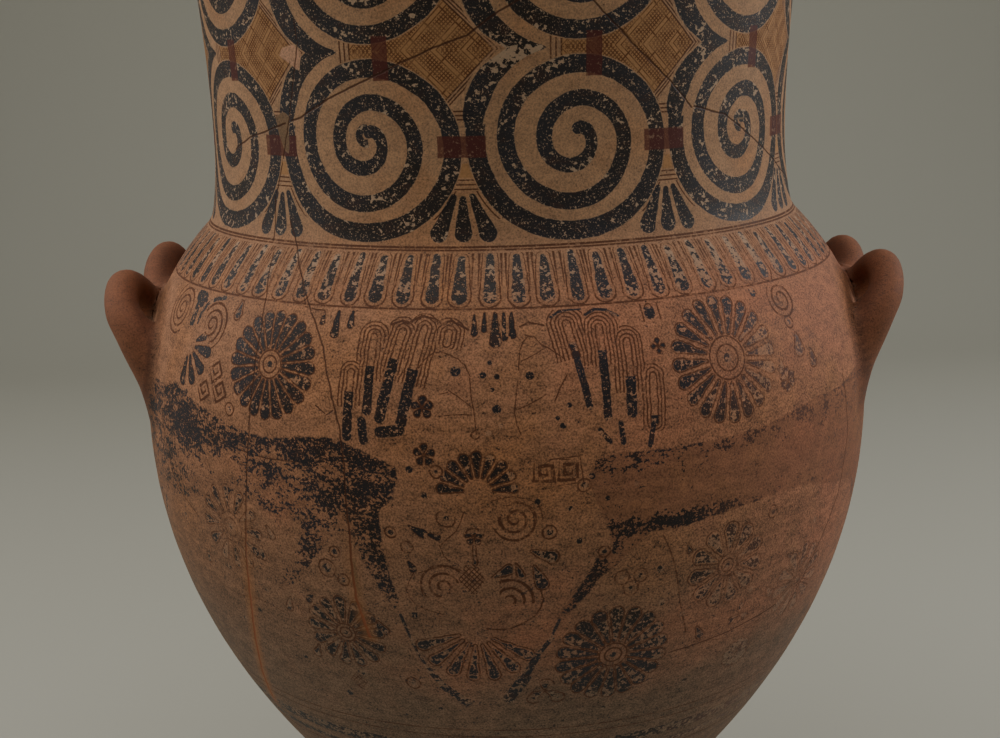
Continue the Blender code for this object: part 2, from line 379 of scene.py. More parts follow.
painted_clay = bpy.data.materials.new("painted clay")
bare_clay = bpy.data.materials.new("bare clay")
wheel = wheel_tree()
wall_mesh = grown(profile_object(outline), wheel, {
    "Columns": 392, "Front closeness": 0.35, "Clay": painted_clay,
})
print("the turned wall has", len(wall_mesh.vertices), "points")

# %% [markdown]
# ## The handles
#
# Each handle is one roll of clay, bent into two arches side by side and pressed onto the
# shoulder at both ends and in the middle. A curve follows the coil's middle line with the
# coil's thickness at each of its points, and a second small tree sweeps a circle along it. A
# bevelled curve would do too, but the tree keeps the roundness as a named input.

# %% Lines of the coils
ARCH_TOP_ALONG, ARCH_TOP_DROP, ARCH_STAND_OFF = 0.057, 0.0422, 0.0285
ROOT_ALONG, ROOT_DROP, MIDDLE_DROP, STUB_DROP = 0.084, 0.104, 0.066, 0.104
BACK_STRETCH, BACK_STAND_IN = 1.12, 0.002
BACK_RISE = {-1: 0.003, 1: -0.006}
COIL_SHRINK = 0.985


def smooth_line(keys, count):
    """Points on the smooth curve that passes through all the keys."""
    keys = np.array(keys)
    line = []
    for place in np.linspace(0, len(keys) - 1, count):
        i = min(int(place), len(keys) - 2)
        t = place - i
        a, b, c, d = (keys[min(max(i + k, 0), len(keys) - 1)] for k in (-1, 0, 1, 2))
        bend, rest = 2 * a - 5 * b + 4 * c - d, 3 * b - a - 3 * c + d
        line.append(0.5 * (2 * b + (c - a) * t + bend * t * t + rest * t**3))
    return np.array(line)


def arch_keys(side):
    """The coil as (along the wall, stand-off, drop below the neck, thickness), front to back."""
    low, high, reach, top = ROOT_DROP, ARCH_TOP_DROP, ARCH_STAND_OFF, ARCH_TOP_ALONG
    coil = COIL_RADIUS
    front = [
        (-0.93 * ROOT_ALONG, -0.018, low + 0.018, COIL_ROOT_RADIUS),
        (-0.98 * ROOT_ALONG, -0.007, low - 0.008, COIL_ROOT_RADIUS),
        (-ROOT_ALONG, 0.42 * reach, low - 0.034, coil * 1.15),
        (-0.91 * ROOT_ALONG, 0.86 * reach, high + 0.0123, coil),
        (-top, reach, high, coil),
        (-0.65 * top, 0.75 * reach, high + 0.004, coil * 1.02),
        (-0.33 * top, 0.32 * reach, high + 0.0165, coil * 1.10),
        (0.0, 0.0, MIDDLE_DROP, coil * 1.25),
    ]
    back = []
    for along, stand_off, drop, radius in front[-2::-1]:
        share = min(-along / top, 1.0)
        stretch = 1 + (BACK_STRETCH - 1) * share
        tucked = BACK_STAND_IN * share if stand_off > 0 else 0.0
        back.append((-along * stretch, stand_off - tucked, drop - BACK_RISE[side] * share, radius))
    return front + back


STUB_KEYS = [
    (0.0, 0.002, MIDDLE_DROP - 0.006, COIL_RADIUS),
    (0.0, 0.001, MIDDLE_DROP + 0.008, COIL_RADIUS * 1.2),
    (0.0, -0.006, STUB_DROP - 0.016, COIL_RADIUS * 1.2),
    (0.0, -0.016, STUB_DROP, COIL_RADIUS * 1.1),
]


def coil_line(keys, side, count):
    """The coil's middle line in space, and its thickness at each point."""
    along, stand_off, drop, thickness = smooth_line(keys, count).T
    z = NECK_Z - drop
    radius = outer_radius(z) + stand_off
    angle = np.arcsin(np.clip(along / radius, -1, 1))
    line = np.column_stack([side * radius * np.cos(angle), radius * np.sin(angle), z])
    return line, thickness * COIL_SHRINK


print("a handle's coil passes through", len(arch_keys(1)), "places")

# %% [markdown]
# ## From lines to coils
#
# The two arches and the middle root are swept one by one and then joined. The coil folds back
# on itself where the arches meet, so that join has to allow a shape that crosses itself.

# %% Coils of the handles


def coil_tree():
    tree, given = geometry_tree("coil", {"Roundness": "Int", "Clay": "Material"})
    circle = new_node(
        tree, "GeometryNodeCurvePrimitiveCircle", Resolution=given["Roundness"], Radius=1.0,
    )
    thickness = new_node(tree, "GeometryNodeInputRadius").outputs[0]
    swept = new_node(tree, "GeometryNodeCurveToMesh", Curve=given["Geometry"],
                     **{"Profile Curve": circle.outputs[0], "Scale": thickness, "Fill Caps": True})
    return end_tree(tree, swept.outputs[0], given["Clay"])


def closed_object(name, mesh):
    """A linked object from the mesh, with its doubles merged and its faces outwards."""
    shape = bmesh.new()
    shape.from_mesh(mesh)
    bmesh.ops.remove_doubles(shape, verts=shape.verts, dist=0.00001)
    bmesh.ops.recalc_face_normals(shape, faces=shape.faces)
    shape.to_mesh(mesh)
    shape.free()
    return linked(name, mesh)


def coil_object(tree, name, places, thickness):
    curve = bpy.data.curves.new(name, "CURVE")
    curve.dimensions = "3D"
    spline = curve.splines.new("POLY")
    spline.points.add(len(places) - 1)
    for point, place, radius in zip(spline.points, places, thickness):
        point.co = (*place, 1.0)
        point.radius = radius
    mesh = grown(linked(name, curve), tree, {"Roundness": 24, "Clay": painted_clay})
    return closed_object(name, mesh)


def combine(target, other, how, crossing=False):
    """Joins the other solid to the target, or cuts it away. Crossing is for a coil that folds."""
    step = target.modifiers.new("combine", "BOOLEAN")
    step.operation, step.solver, step.object = how, "EXACT", other
    step.use_self = crossing
    mesh = evaluated(target)
    target.modifiers.remove(step)
    target.data = mesh


sweep = coil_tree()
handles, coil_lines = [], []
for side, label in ((-1, "left"), (1, "right")):
    arches = coil_line(arch_keys(side), side, 96)
    stub = coil_line(STUB_KEYS, side, 14)
    coil_lines += [arches, stub]
    handle = coil_object(sweep, f"handle_{label}", *arches)
    root = coil_object(sweep, f"stub_{label}", *stub)
    combine(handle, root, "UNION", crossing=True)
    bpy.data.objects.remove(root)
    handles.append(handle)
    print("the", label, "handle has", len(handle.data.polygons), "faces")

# %% [markdown]
# ## Joining the handles to the wall
#
# The coil runs on into the wall, so its ends are first cut off at the middle of the wall's
# thickness with a turned plug, and what is left is joined to the wall with a Boolean. The plug
# comes from the same wheel tree, with other numbers in its inputs.

# %% Join
jar = closed_object("jar", wall_mesh)
plug_z = heights(0.42, HANDLE_HIGH, 0.006)
plug_side = [(float(r) - WALL / 2, float(z)) for r, z in zip(outer_radius(plug_z), plug_z)]
plug_outline = [(0.0, 0.42), *plug_side, (0.0, HANDLE_HIGH)]
middle = closed_object("middle", grown(profile_object(plug_outline), wheel, {
    "Columns": 120, "Front closeness": 0.0, "Clay": painted_clay,
}))
for handle in handles:
    combine(handle, middle, "DIFFERENCE")
    combine(jar, handle, "UNION")
    bpy.data.objects.remove(handle)
bpy.data.objects.remove(middle)
print("joined:", len(jar.data.vertices), "points,", len(jar.data.polygons), "faces")

# %% [markdown]
# ## Smearing the joins
#
# A Boolean leaves a sharp crease, but a potter smears wet clay over the join. So the points
# near the crease are moved onto the smooth blend of two distances: the distance to the wall and
# the distance to the coil. Five small steps down the slope of the blend bring them there.

# %% Smear the joins
BLEND, NEAR_COIL, STEEPEST = 0.009, 0.012, 0.003
SLOPE_STEP = 0.0003


def wall_distance(p):
    return (np.hypot(p[:, 0], p[:, 1]) - outer_radius(p[:, 2])) * 0.93


def coil_distance(p):
    """The distance from each point to the nearest coil's surface."""
    nearest = np.full(len(p), 1.0)
    for places, thickness in coil_lines:
        for a, b, ra, rb in zip(places, places[1:], thickness, thickness[1:]):
            span = b - a
            share = np.clip(((p - a) @ span) / (span @ span), 0, 1)
            gap = np.linalg.norm(p - a - share[:, None] * span, axis=1)
            nearest = np.minimum(nearest, gap - (ra + (rb - ra) * share))
    return nearest


def blended(p):
    wall, coil = wall_distance(p), coil_distance(p)
    share = np.clip(0.5 + 0.5 * (wall - coil) / BLEND, 0, 1)
    return wall + (coil - wall) * share - BLEND * share * (1 - share)


def numbers_of(items, what, width=3, kind=float):
    """One row of numbers for each point, corner or face of a mesh."""
    flat = np.empty(len(items) * width, dtype=kind)
    items.foreach_get(what, flat)
    return flat.reshape(-1, width)


def move_points(mesh, places):
    mesh.vertices.foreach_set("co", places.ravel())
    mesh.update()


def by_handles(p, high):
    """Which points are in the part of the jar's sides that carries the handles."""
    return (np.abs(p[:, 0]) > HANDLE_SIDE) & (p[:, 2] > HANDLE_LOW) & (p[:, 2] < high)


points = numbers_of(jar.data.vertices, "co")
near = np.flatnonzero(by_handles(points, 0.612) & (wall_distance(points) > -STEEPEST))
near = near[np.abs(coil_distance(points[near])) < NEAR_COIL]
spot = points[near].copy()
for _ in range(5):
    value = blended(spot)
    slope = np.column_stack([
        (blended(spot + step) - value) / SLOPE_STEP for step in SLOPE_STEP * np.eye(3)
    ])
    length = np.maximum((slope**2).sum(axis=1), 0.2)
    spot -= (np.clip(value, -STEEPEST, STEEPEST) / length)[:, None] * slope
points[near] = spot
move_points(jar.data, points)
print("smeared", len(near), "points round the handles")

# %% [markdown]
# ## Cleaning the seams
#
# A Boolean can leave slivers along its cut: points a hair apart, edges without length and small
# gaps. They are merged, dissolved or filled here, so that the jar is one closed skin.

# %% Clean the seams
shape = bmesh.new()
shape.from_mesh(jar.data)
seam = [v for v in shape.verts if abs(v.co.x) > HANDLE_SIDE and HANDLE_LOW < v.co.z < HANDLE_HIGH]
bmesh.ops.remove_doubles(shape, verts=seam, dist=0.0005)
bmesh.ops.dissolve_degenerate(shape, edges=shape.edges, dist=MERGE_DISTANCE)
open_edges = [e for e in shape.edges if len(e.link_faces) == 1]
bmesh.ops.holes_fill(shape, edges=open_edges, sides=8)
loose = [v for v in shape.verts if not v.link_faces]
bmesh.ops.delete(shape, geom=loose, context="VERTS")
shape.to_mesh(jar.data)
shape.free()
jar.data.shade_smooth()
print("after cleaning:", len(jar.data.vertices), "points")

# %% [markdown]
# ## The hand in the clay
#
# No thrown jar is perfectly round. Each point moves inwards by a third of a millimetre or less,
# in slow waves that are longer round the jar than up it, as the ridges of throwing are. The
# moves only go inwards, so the jar keeps inside its measured size.

# %% Unevenness
UNEVENNESS = 0.0007

points = numbers_of(jar.data.vertices, "co")
turn, height = np.arctan2(points[:, 0], -points[:, 1]), points[:, 2]
waves = sum(
    size * np.sin(around * turn + upwards * height + start) for size, around, upwards, start in
    ((1.0, 3, 11, 0.4), (1.0, 5, -23, 1.9), (0.8, 2, 190, 0.0), (0.6, 9, 61, 2.2))
) / 3.4
points[:, :2] *= (1 - UNEVENNESS * (1 + waves))[:, None]
move_points(jar.data, points)
print("the radius varies by up to", round(2 * UNEVENNESS * BELLY_RADIUS * 1000, 2), "mm")

# %% [markdown]
# ## Where things are on the wall
#
# The painter worked on a curved wall, so every place in the painting is given as two numbers:
# the turn in degrees from the middle of the front, positive to the right, and the way along the
# wall in millimetres from the foot of the neck, negative downwards. Both are worked out for
# every point and every face of the mesh.

# %% Places on the wall
table_z = np.linspace(FOOT_Z, NECK_TOP_Z, 3000)
table_r = outer_radius(table_z)
table_way = np.concatenate([[0], np.cumsum(np.hypot(np.diff(table_z), np.diff(table_r)))])
table_way = (table_way - np.interp(NECK_Z, table_z, table_way)) * 1000


def turn_and_way(p):
    """Each place's turn in degrees and its way along the wall in millimetres."""
    return np.degrees(np.arctan2(p[:, 0], -p[:, 1])), np.interp(p[:, 2], table_z, table_way)


def radius_at(way):
    """The wall's radius in millimetres, that far along it."""
    return np.interp(way, table_way, table_r) * 1000


faces = jar.data.polygons
face_count, loop_count = len(faces), len(jar.data.loops)
loop_point = numbers_of(jar.data.loops, "vertex_index", 1, np.int32).ravel()
loop_face = np.repeat(np.arange(face_count), numbers_of(faces, "loop_total", 1, np.int32).ravel())
centre, normal = numbers_of(faces, "center"), numbers_of(faces, "normal")
point_turn, point_way = turn_and_way(points)
face_turn, face_way = turn_and_way(centre)
point_radius = np.hypot(points[:, 0], points[:, 1])
off_wall = (point_radius - outer_radius(points[:, 2])) * 1000
print("the wall runs from", round(table_way[0]), "to", round(table_way[-1]), "mm")

# %% [markdown]
# ## Inside and outside
#
# Only the outside was painted. A face belongs to the inside where it looks towards the jar's
# axis and lies within the wall, or where it is under the foot. Those faces take the second
# material, so that one mesh carries both finishes.

# %% Inside and outside


def outwards(directions, places):
    """How far each direction points away from the jar's axis, from -1 to 1."""
    radius = np.maximum(np.hypot(places[:, 0], places[:, 1]), 0.001)
    return (directions[:, 0] * places[:, 0] + directions[:, 1] * places[:, 1]) / radius


face_radius = np.hypot(centre[:, 0], centre[:, 1])
facing_out = outwards(normal, centre)
within = face_radius < outer_radius(centre[:, 2]) - 0.004
in_foot = centre[:, 2] < FOOT_Z
inner_face = (facing_out < 0.05) & within & (centre[:, 2] > FOOT_Z)
inner_face |= in_foot & (facing_out < -0.05) & (face_radius < 0.148)
inner_face |= in_foot & (face_radius < 0.07) | (centre[:, 2] < 0.002)
jar.data.materials.clear()
jar.data.materials.append(painted_clay)
jar.data.materials.append(bare_clay)
faces.foreach_set("material_index", inner_face.astype(np.int32))
print(int(inner_face.sum()), "faces are inside or underneath")

# %% [markdown]
# ## Stamps: the small ornaments of the frieze
#
# Between the animals the painter filled the ground with rosettes, fans of petals, scrolls, keys,
# rings and hanging drops. These are the common patterns of such jars. Each is one row of
# numbers: its turn, its way along the wall, its reach in millimetres and a few sizes that its
# kind needs. The drawing itself is left to the material. A picture mapped onto the jar would
# blur close up, and this stays sharp at any distance.

# %% Kinds of ornament
PETALS, SCROLL, LOCK, LATTICE = 1.0, 2.0, 3.0, 4.0
stamps = []


def stamp(kind, turn, way, reach, count=0.0, eye=0.0, width=0.0, third=0.0, fourth=0.0, lean=0.0):
    stamps.append((kind, turn, way, reach, count, eye, width, third, fourth, lean))


def rosette(turn, way, reach, petals, eye, width, gap=0.0):
    """A full round of petals. A gap leaves the outline but draws the slip inside it smaller."""
    stamp(PETALS, turn, way, reach, petals, eye, width, petals, gap)


def fan(turn, way, reach, petals, eye, width, each_side, gap=0.0, lean=0.0):
    """Part of a rosette: so many of its petals on each side of the middle one."""
    stamp(PETALS, turn, way, reach, petals, eye, width, each_side, gap, lean)


def flower(turn, way, petals, reach):
    rosette(turn, way, reach, petals, 0.8, reach * 0.34, 0.3 if reach < 8 else 1.0)


def drop(turn, way, length, width, lean=180.0, gap=0.0):
    """A single petal."""
    fan(turn, way, length, 4, 0.4, width, 0, gap, lean)


def hollow_drop(turn, way, length, width, lean):
    drop(turn, way, length, width, lean, 0.9)


def scroll(turn, way, reach, pitch, line, lean=0.0, square=0.0):
    stamp(SCROLL, turn, way, reach, pitch, 0.0, line, square, 0.0, lean)


def key(turn, way, lean):
    scroll(turn, way, 6.4, 3.6, 0.9, lean, 1.0)


def lock(turn, way, half_length, width, arches, dark, lean=0.0):
    """A lock of mane: a drop under nested arches, dark over that share of its length."""
    reach = half_length + max(width, 2.2 * arches) + 1
    stamp(LOCK, turn, way, reach, arches, half_length, width, 0.0, dark, lean)


def ring(turn, way, dot, around=0.0):
    """A dot, with a ring round it where that is given."""
    stamp(LOCK, turn, way, max(dot, around) + 1, float(around > 0), 0.0, dot, 0.0, 1.0)


def lattice(turn, way, reach, flatness):
    stamp(LATTICE, turn, way, reach, third=flatness)


# %% Ornament list
for make, *rows in (
    (rosette, (-34.6, -78.8, 32.5, 20, 9.2, 3.8, 0.35), (31.6, -80.8, 38, 20, 14, 4.1, 0.75),
     (14.4, -256, 35, 18, 9.5, 4.8, 0.6), (31.4, -207, 28.5, 11, 8, 5.6, 1.6),
     (-24.8, -241, 26, 13, 7, 4, 0.8), (-43.2, -184, 28, 12, 11, 3.8, 1.1),
     (49, -238, 27, 11, 6, 4.8, 1.4)),
    (fan, (-4.2, -144.5, 23.5, 17, 8, 3.1, 4, 0.5), (-5.2, -232, 39, 17, 10, 4.3, 3, 1.3, 186),
     (-53.6, -77, 26, 12, 7, 3.6, 2, 0, 125)),
    (scroll, (-60.5, -58, 18, 4.6, 0.7), (-49.1, -62, 15.5, 4.6, 0.85),
     (45.7, -53.5, 12.5, 4.4, 0.8), (0.5, -161, 13.5, 5, 0.85), (-9.4, -203, 15, 5, 0.7, 90),
     (-0.6, -211, 15.5, 5.2, 0.9, 200)),
    (key, (-45.3, -88, -25), (-44, -99.5, -25), (-47.8, -101, -25), (4.4, -134, 6),
     (7.6, -134, 6)),
    (drop, (-4.4, -44, 13, 1.8), (-3, -43, 12, 1.6), (-1.5, -43, 21, 3.2), (-0.3, -43, 17, 2.3),
     (0.8, -43, 16, 2.1), (-43.5, -43, 13, 3.8, 180, 1.1), (-24.7, -43, 17, 2.6),
     (-22.4, -43, 11, 2.2), (-27, -44, 9, 1.6), (46.2, -74, 16, 5.2, 180, 1),
     (48.8, -86, 13, 4.2, 170, 0.9), (41.5, -88, 10, 3.2, 180, 0.6)),
    (hollow_drop, (2.2, -180, 18, 4.3, 110), (2.7, -189, 17.5, 4.2, 157),
     (-2.8, -197, 15, 3.6, 62), (0.4, -187, 12, 2.4, 160), (-0.9, -232, 17.5, 3.8, 127),
     (-1.2, -243, 15.5, 3.7, 152), (-8.6, -229, 17, 2.6, 292), (-8.8, -234, 15, 2.6, 262),
     (-4.9, -175, 14, 1.6, 180), (-37.5, -188, 13, 3.2, 172), (-35.6, -176, 10, 2.6, 150),
     (-33.4, -222, 12, 3, 200), (-19.4, -229, 11, 3.4, 150), (-30.2, -254, 12, 3, 205),
     (-50.6, -205, 13, 3, 200), (27.5, -246, 12, 3.2, 150), (24.2, -186, 8, 2.2, 160),
     (40.5, -232, 12, 3.2, 140), (44, -214, 12, 3, 120)),
    (drop, (-13.6, -165, 12.5, 2.5, 118), (-11, -170, 8, 1.8, 105), (-13.9, -187, 8, 2.2, 150),
     (-29, -216, 9, 2.4, 220)),
    (lock, (-21.4, -97, 18, 2.9, 3, 0.7, 2), (-18.6, -79, 21, 2.7, 4, 0.6, 1),
     (-15.7, -79, 25, 3.1, 4, 0.68, 12), (-12.7, -79, 27, 3.2, 4, 0.56, 12),
     (-8, -58, 3, 0.05, 4, 1, 10), (9.5, -75, 24, 2, 5, 0.76, -11), (12.9, -80, 25, 2.6, 5, 0.74),
     (16.4, -84, 20, 3, 4, 0.5, 2), (19.4, -98, 13, 2, 3, 0.15, 3), (20.8, -47.5, 2, 3.4, 1, 1),
     (40, -43, 3, 2.4, 1, 1)),
    (flower, (-11.2, -97, 5, 6.6), (-11, -123.5, 5, 6.5), (37.8, -279, 9, 12),
     (4.4, -280, 3, 9.5), (21, -68.5, 4, 4.4), (-4.9, -171, 5, 5.5), (42.3, -101, 6, 7.5),
     (35.6, -246, 3, 9)),
    (ring, (-24.4, -186, 1.7, 3.4), (-25.9, -197, 2.5, 5.6), (-23.6, -203.5, 1.6, 3.8),
     (-15.5, -275, 1.8, 4.4), (14.8, -202, 1.4, 4.4), (17.4, -202, 1.4, 4.4),
     (16.1, -209.5, 1.6, 4.6), (4.5, -276, 1.6, 5.4), (2.8, -286, 1, 4.2), (6.4, -286, 1, 4.2),
     (-13.9, -178.5, 1.2, 3.6), (-16, -170, 1.6, 3.4), (4.9, -169.5, 1.8, 4),
     (9.5, -143, 1.6, 3.8), (-41.6, -109, 1.6, 3.8), (45.5, -68, 1.6, 3.8),
     (-9.5, -133, 1.2, 3.6), (-4.9, -170, 1.6, 4.2), (-4.3, -112, 0.1, 2.2),
     (-20.4, -240, 2.2, 4.4), (-29.5, -230, 1.6, 4), (-8.4, -160, 1.4, 5.4), (22, -262, 1.4, 4),
     (12.2, -184, 1.2, 3.4), (39.2, -180, 1.4, 4), (-6.85, -76.8, 2.8), (2.9, -79.8, 2.5),
     (-2.3, -72, 1.5), (-3.2, -79, 1.6), (-1.4, -80, 1.5), (-2, -87, 1.4), (-1.5, -98, 2.4),
     (-1, -107, 1.4), (-2.6, -111, 1.6), (7.9, -97.5, 1.6), (6.3, -104, 1.5), (6.9, -108.5, 1.7),
     (21, -68, 2), (-38, -222, 1.8), (-19, -233, 3), (-21.5, -246, 2.4), (-23.5, -272, 1.8),
     (28.5, -112, 1.5), (16.5, -145, 1.6), (10.5, -138, 1.8), (37, -230, 1.8), (-52.6, -106, 1.6),
     (-13, -132, 1.8), (20.3, -200, 2.4), (21, -223, 1.8), (24.5, -234, 1.8), (-13.6, -223, 2.4),
     (-12.3, -222, 2.4), (-18.7, -187, 1.5), (-45.8, -214, 2), (-41, -240, 1.8), (-46, -252, 1.6),
     (-34, -268, 1.8), (-27.4, -292, 2), (-12, -296, 1.6), (14, -300, 1.6), (28, -290, 1.8),
     (48, -236, 1.8), (50.5, -198, 1.8), (-56.6, -190, 1.8), (-11.2, -147, 1.6), (3.4, -151, 1.5),
     (7.6, -156, 1.6), (12.6, -152, 1.5), (8.8, -176, 1.6)),
    (lattice, (-5.4, -206, 15, 0.45), (-24.8, -279, 8, 0.8)),
):
    for row in rows:
        make(*row)
for k in range(7):
    rosette(90.0 + 30 * k, -238, 30.0, 16, 8.0, 4.2, 0.8 * (k % 2))
    fan(105.0 + 30 * k, -213 - 8 * (k % 2), 17.0, 14, 5.0, 2.6, 2)
for k in range(4):
    rosette(126.0 + 36 * k, -88, 32.0, 18, 8.0, 4.0)
    scroll(144.0 + 36 * k, -68, 13.0, 4.0, 0.7)
    fan(144.0 + 36 * k, -125, 22.0, 14, 7.0, 3.0, 3, 0.6)
    ring(144.0 + 36 * k, -152, 3.0, 2)
print(len(stamps), "ornaments")

# %% [markdown]
# ## Strokes and cracks
#
# A thin line, such as the outline of a head or an old crack between two sherds, is a chain of
# short straight lengths. A painted stroke that bends is cut into lengths of about 6 mm, because
# a face keeps only one length and a longer one would show its corners. The heads, legs and
# hooves of the horses come first, then the loose lines of the frieze, then the cracks.

# %% Strokes
strokes, cracks = [], []
STROKE_LENGTH, DEGREE_IN_MM = 6, 4.3


def line(into, width, *places):
    """A chain of straight lengths through places given as turn and way, with a half-width."""
    into += [(a, b, width) for a, b in zip(places, places[1:])]


def straight(width, *places):
    line(strokes, width, *places)


def bend(width, *places):
    """A painted stroke that bends smoothly through the places."""
    steps = zip(places, places[1:])
    length = sum(math.hypot((b[0] - a[0]) * DEGREE_IN_MM, b[1] - a[1]) for a, b in steps)
    straight(width, *smooth_line(places, max(3, round(length / STROKE_LENGTH) + 1)))


for draw, *rows in (
    (bend,
     (0.34, (-12.4, -80), (-11.4, -72), (-9.6, -66), (-7.7, -67.5), (-5.9, -72), (-5, -79),
      (-4.8, -90), (-4.4, -100), (-4.2, -110)),
     (0.32, (-8.4, -89), (-7.5, -88), (-6.4, -91), (-4.9, -96)),
     (0.3, (-8.6, -101.5), (-6.6, -100.6), (-4.6, -101)),
     (0.34, (1.5, -75), (1.7, -67), (2.2, -61), (3, -57.6), (3.9, -58.8), (4.6, -62.5),
      (5.8, -65.5), (7.2, -70)),
     (0.32, (1.7, -72), (3.4, -69), (5, -65)),
     (0.32, (1.3, -84), (1, -92), (0.8, -102), (1.4, -111)),
     (0.3, (1.4, -98), (3.1, -95), (4.6, -91.5)),
     (0.4, (7.6, -82), (6.8, -87.5), (6.2, -93)),
     (0.6, (2.3, -51.4), (3.2, -49.8), (4.8, -51.4)),
     (0.8, (6.6, -46.4), (8, -43.6), (10.2, -43.2)),
     (0.8, (11.6, -46.2), (13.4, -43.6), (15.6, -48.2)),
     (0.7, (-15.8, -50), (-14.6, -48.2), (-13.6, -49.8), (-12.6, -46.2), (-10.8, -45),
      (-9.2, -49.8), (-7.8, -47.6), (-5.6, -52.4))),
    (straight,
     (0.9, (-15.6, -225), (-14, -250), (-12.9, -261)),
     (2, (-12.6, -264), (-11, -274)),
     (2.9, (-10.6, -277), (-7.9, -288)),
     (0.9, (6.1, -228), (5.2, -238)),
     (1.5, (5.2, -239), (3.3, -251)),
     (2.3, (3.2, -252), (1.6, -266)),
     (3.8, (1.2, -270), (-0.8, -284)),
     (3.2, (-16.5, -111.4), (-14.6, -110.4)),
     (2.8, (-19.4, -108), (-19.2, -115)),
     (1.6, (14.6, -111), (14.8, -119)),
     (1.6, (19.1, -111), (18.6, -122)),
     (1.4, (12, -113.5), (12.8, -118)),
     (0.5, (19.6, -42.5), (19.7, -52)),
     (0.5, (22.2, -42.5), (22.3, -51.5)),
     (5, (-55.2, -46.5), (-54.4, -48)),
     (3, (-55.2, -50), (-55, -62))),
    (bend,
     (1.5, (-53.2, -61), (-52.6, -52), (-50.8, -46.5), (-48.6, -44.5)),
     (0.35, (-46.5, -124), (-41, -131), (-35, -134), (-28, -133)),
     (0.32, (-13.4, -196), (-14.4, -206), (-13.2, -216), (-10, -221)),
     (0.32, (-12.2, -194), (-9.6, -190), (-6.6, -192), (-5.4, -198)),
     (0.5, (3.4, -203), (4, -212), (2.8, -223), (-0.6, -231), (-3.4, -231)),
     (0.34, (4, -160), (3.4, -152), (0.4, -147.5), (-2.6, -150)),
     (0.5, (20.6, -180), (21.7, -190), (22.8, -204), (24, -226), (25.7, -247)),
     (0.36, (-6.2, -158), (-7.2, -168), (-9.4, -177), (-8.4, -186))),
    (straight,
     (0.36, (5.5, -127), (9, -126), (9.4, -141), (5.8, -142.5), (5.5, -127))),
    (bend,
     (0.45, (-62, -128), (-60.5, -150), (-58, -170), (-52, -185)),
     (0.34, (28, -258), (33, -262), (37.5, -263), (41, -257)),
     (0.4, (-52, -228), (-46, -233), (-40, -231), (-35, -236))),
):
    for row in rows:
        draw(*row)
for side in (-1, 1):
    bend(2.2, (81 * side, -122), (86 * side, -150), (87 * side, -195), (85 * side, -225))
    bend(2.0, (66 * side, -190), (70 * side, -215), (68 * side, -250), (65 * side, -262))
print(len(strokes), "lengths of stroke")

# %% Cracks
for width, *places in (
    (0.42, (-58, 52), (-52, 60), (-45.5, 65), (-37, 73), (-29, 86), (-21, 97), (-11, 111),
     (-5, 118), (0, 130), (6, 141), (9, 158)),
    (0.38, (14, 141), (18, 127), (24, 107), (30, 90), (35, 74), (44, 67), (52, 53), (60, 40),
     (68, 27), (80, 14)),
    (0.3, (-36.5, 128), (-36.3, 115), (-38, 95), (-39.8, 73), (-42, 50), (-44.5, 24), (-44, 0)),
    (0.36, (-40, 10), (-38.5, 1), (-33, -26), (-28.5, -50), (-26, -66), (-25, -79), (-23.3, -100),
     (-22.5, -112), (-22, -133), (-22, -153), (-21.8, -175), (-22, -190), (-22, -216),
     (-21, -240)),
    (0.3, (-42, -11), (-39, -38), (-37.5, -60), (-37.2, -90), (-37.5, -119), (-38.5, -150),
     (-39.5, -176), (-41, -205), (-42.5, -234), (-44.5, -258), (-46.5, -279), (-50, -308),
     (-53.5, -336)),
    (0.26, (-33, -26), (-30.5, -43), (-27.5, -44)),
    (0.24, (-26, -100), (-24.5, -104), (-23.3, -100)),
    (0.3, (58, -112), (60, -150), (58, -190), (52, -230), (48, -262)),
    (0.26, (24, -262), (34, -258), (44, -251)),
    (0.3, (100, 60), (118, 30), (131, -10), (135, -70), (128, -140), (131, -220), (120, -300)),
    (0.3, (-98, -150), (-110, -100), (-126, -60), (-150, -40), (-170, 10), (-168, 80)),
):
    line(cracks, width, *places)
print(len(cracks), "lengths of crack")

# %% [markdown]
# ## What every corner of the mesh keeps
#
# For every face the nearest ornament is found, and the corners of the face keep their place in
# that ornament's own flat frame. A shape drawn from such a frame has crisp edges however coarse
# the mesh is. Corners are used and not points, because two faces that meet can belong to two
# ornaments. Strokes and cracks are kept the same way, as the distance to the side of the nearest
# length and past its end.

# %% Ornaments for every corner
NO_ORNAMENT = (90.0, 90.0, 1.0)
NEAREST_FROM, TURN_SPAN, WAY_SPAN = 60.0, 14, 55


def store(name, kind, domain, values):
    """Keeps one number, or three, for each point or corner of the jar."""
    layer = jar.data.attributes.new(name, kind, domain)
    what = "value" if kind == "FLOAT" else "vector"
    layer.data.foreach_set(what, np.ascontiguousarray(values).ravel())


def turned_by(turns, about):
    """The difference between turns in degrees, the short way round."""
    return (turns - about + 180) % 360 - 180


def flat_place(turns, ways, about_turn, about_way):
    """Millimetres across and along from a place on the wall."""
    radius = (radius_at(ways) + radius_at(about_way)) / 2
    return np.radians(turned_by(turns, about_turn)) * radius, ways - about_way


def corners_that_keep(chosen):
    """The corners whose face has chosen something, what it is, and the corners' places."""
    choice = chosen[loop_face]
    here = np.flatnonzero(choice >= 0)
    return here, choice[here], point_turn[loop_point[here]], point_way[loop_point[here]]


def keep_at_corners(name, here, columns, otherwise=(0.0, 0.0, 0.0)):
    kept = np.tile(np.array(otherwise), (loop_count, 1))
    kept[here] = np.column_stack(columns)
    store(name, "FLOAT_VECTOR", "CORNER", kept)


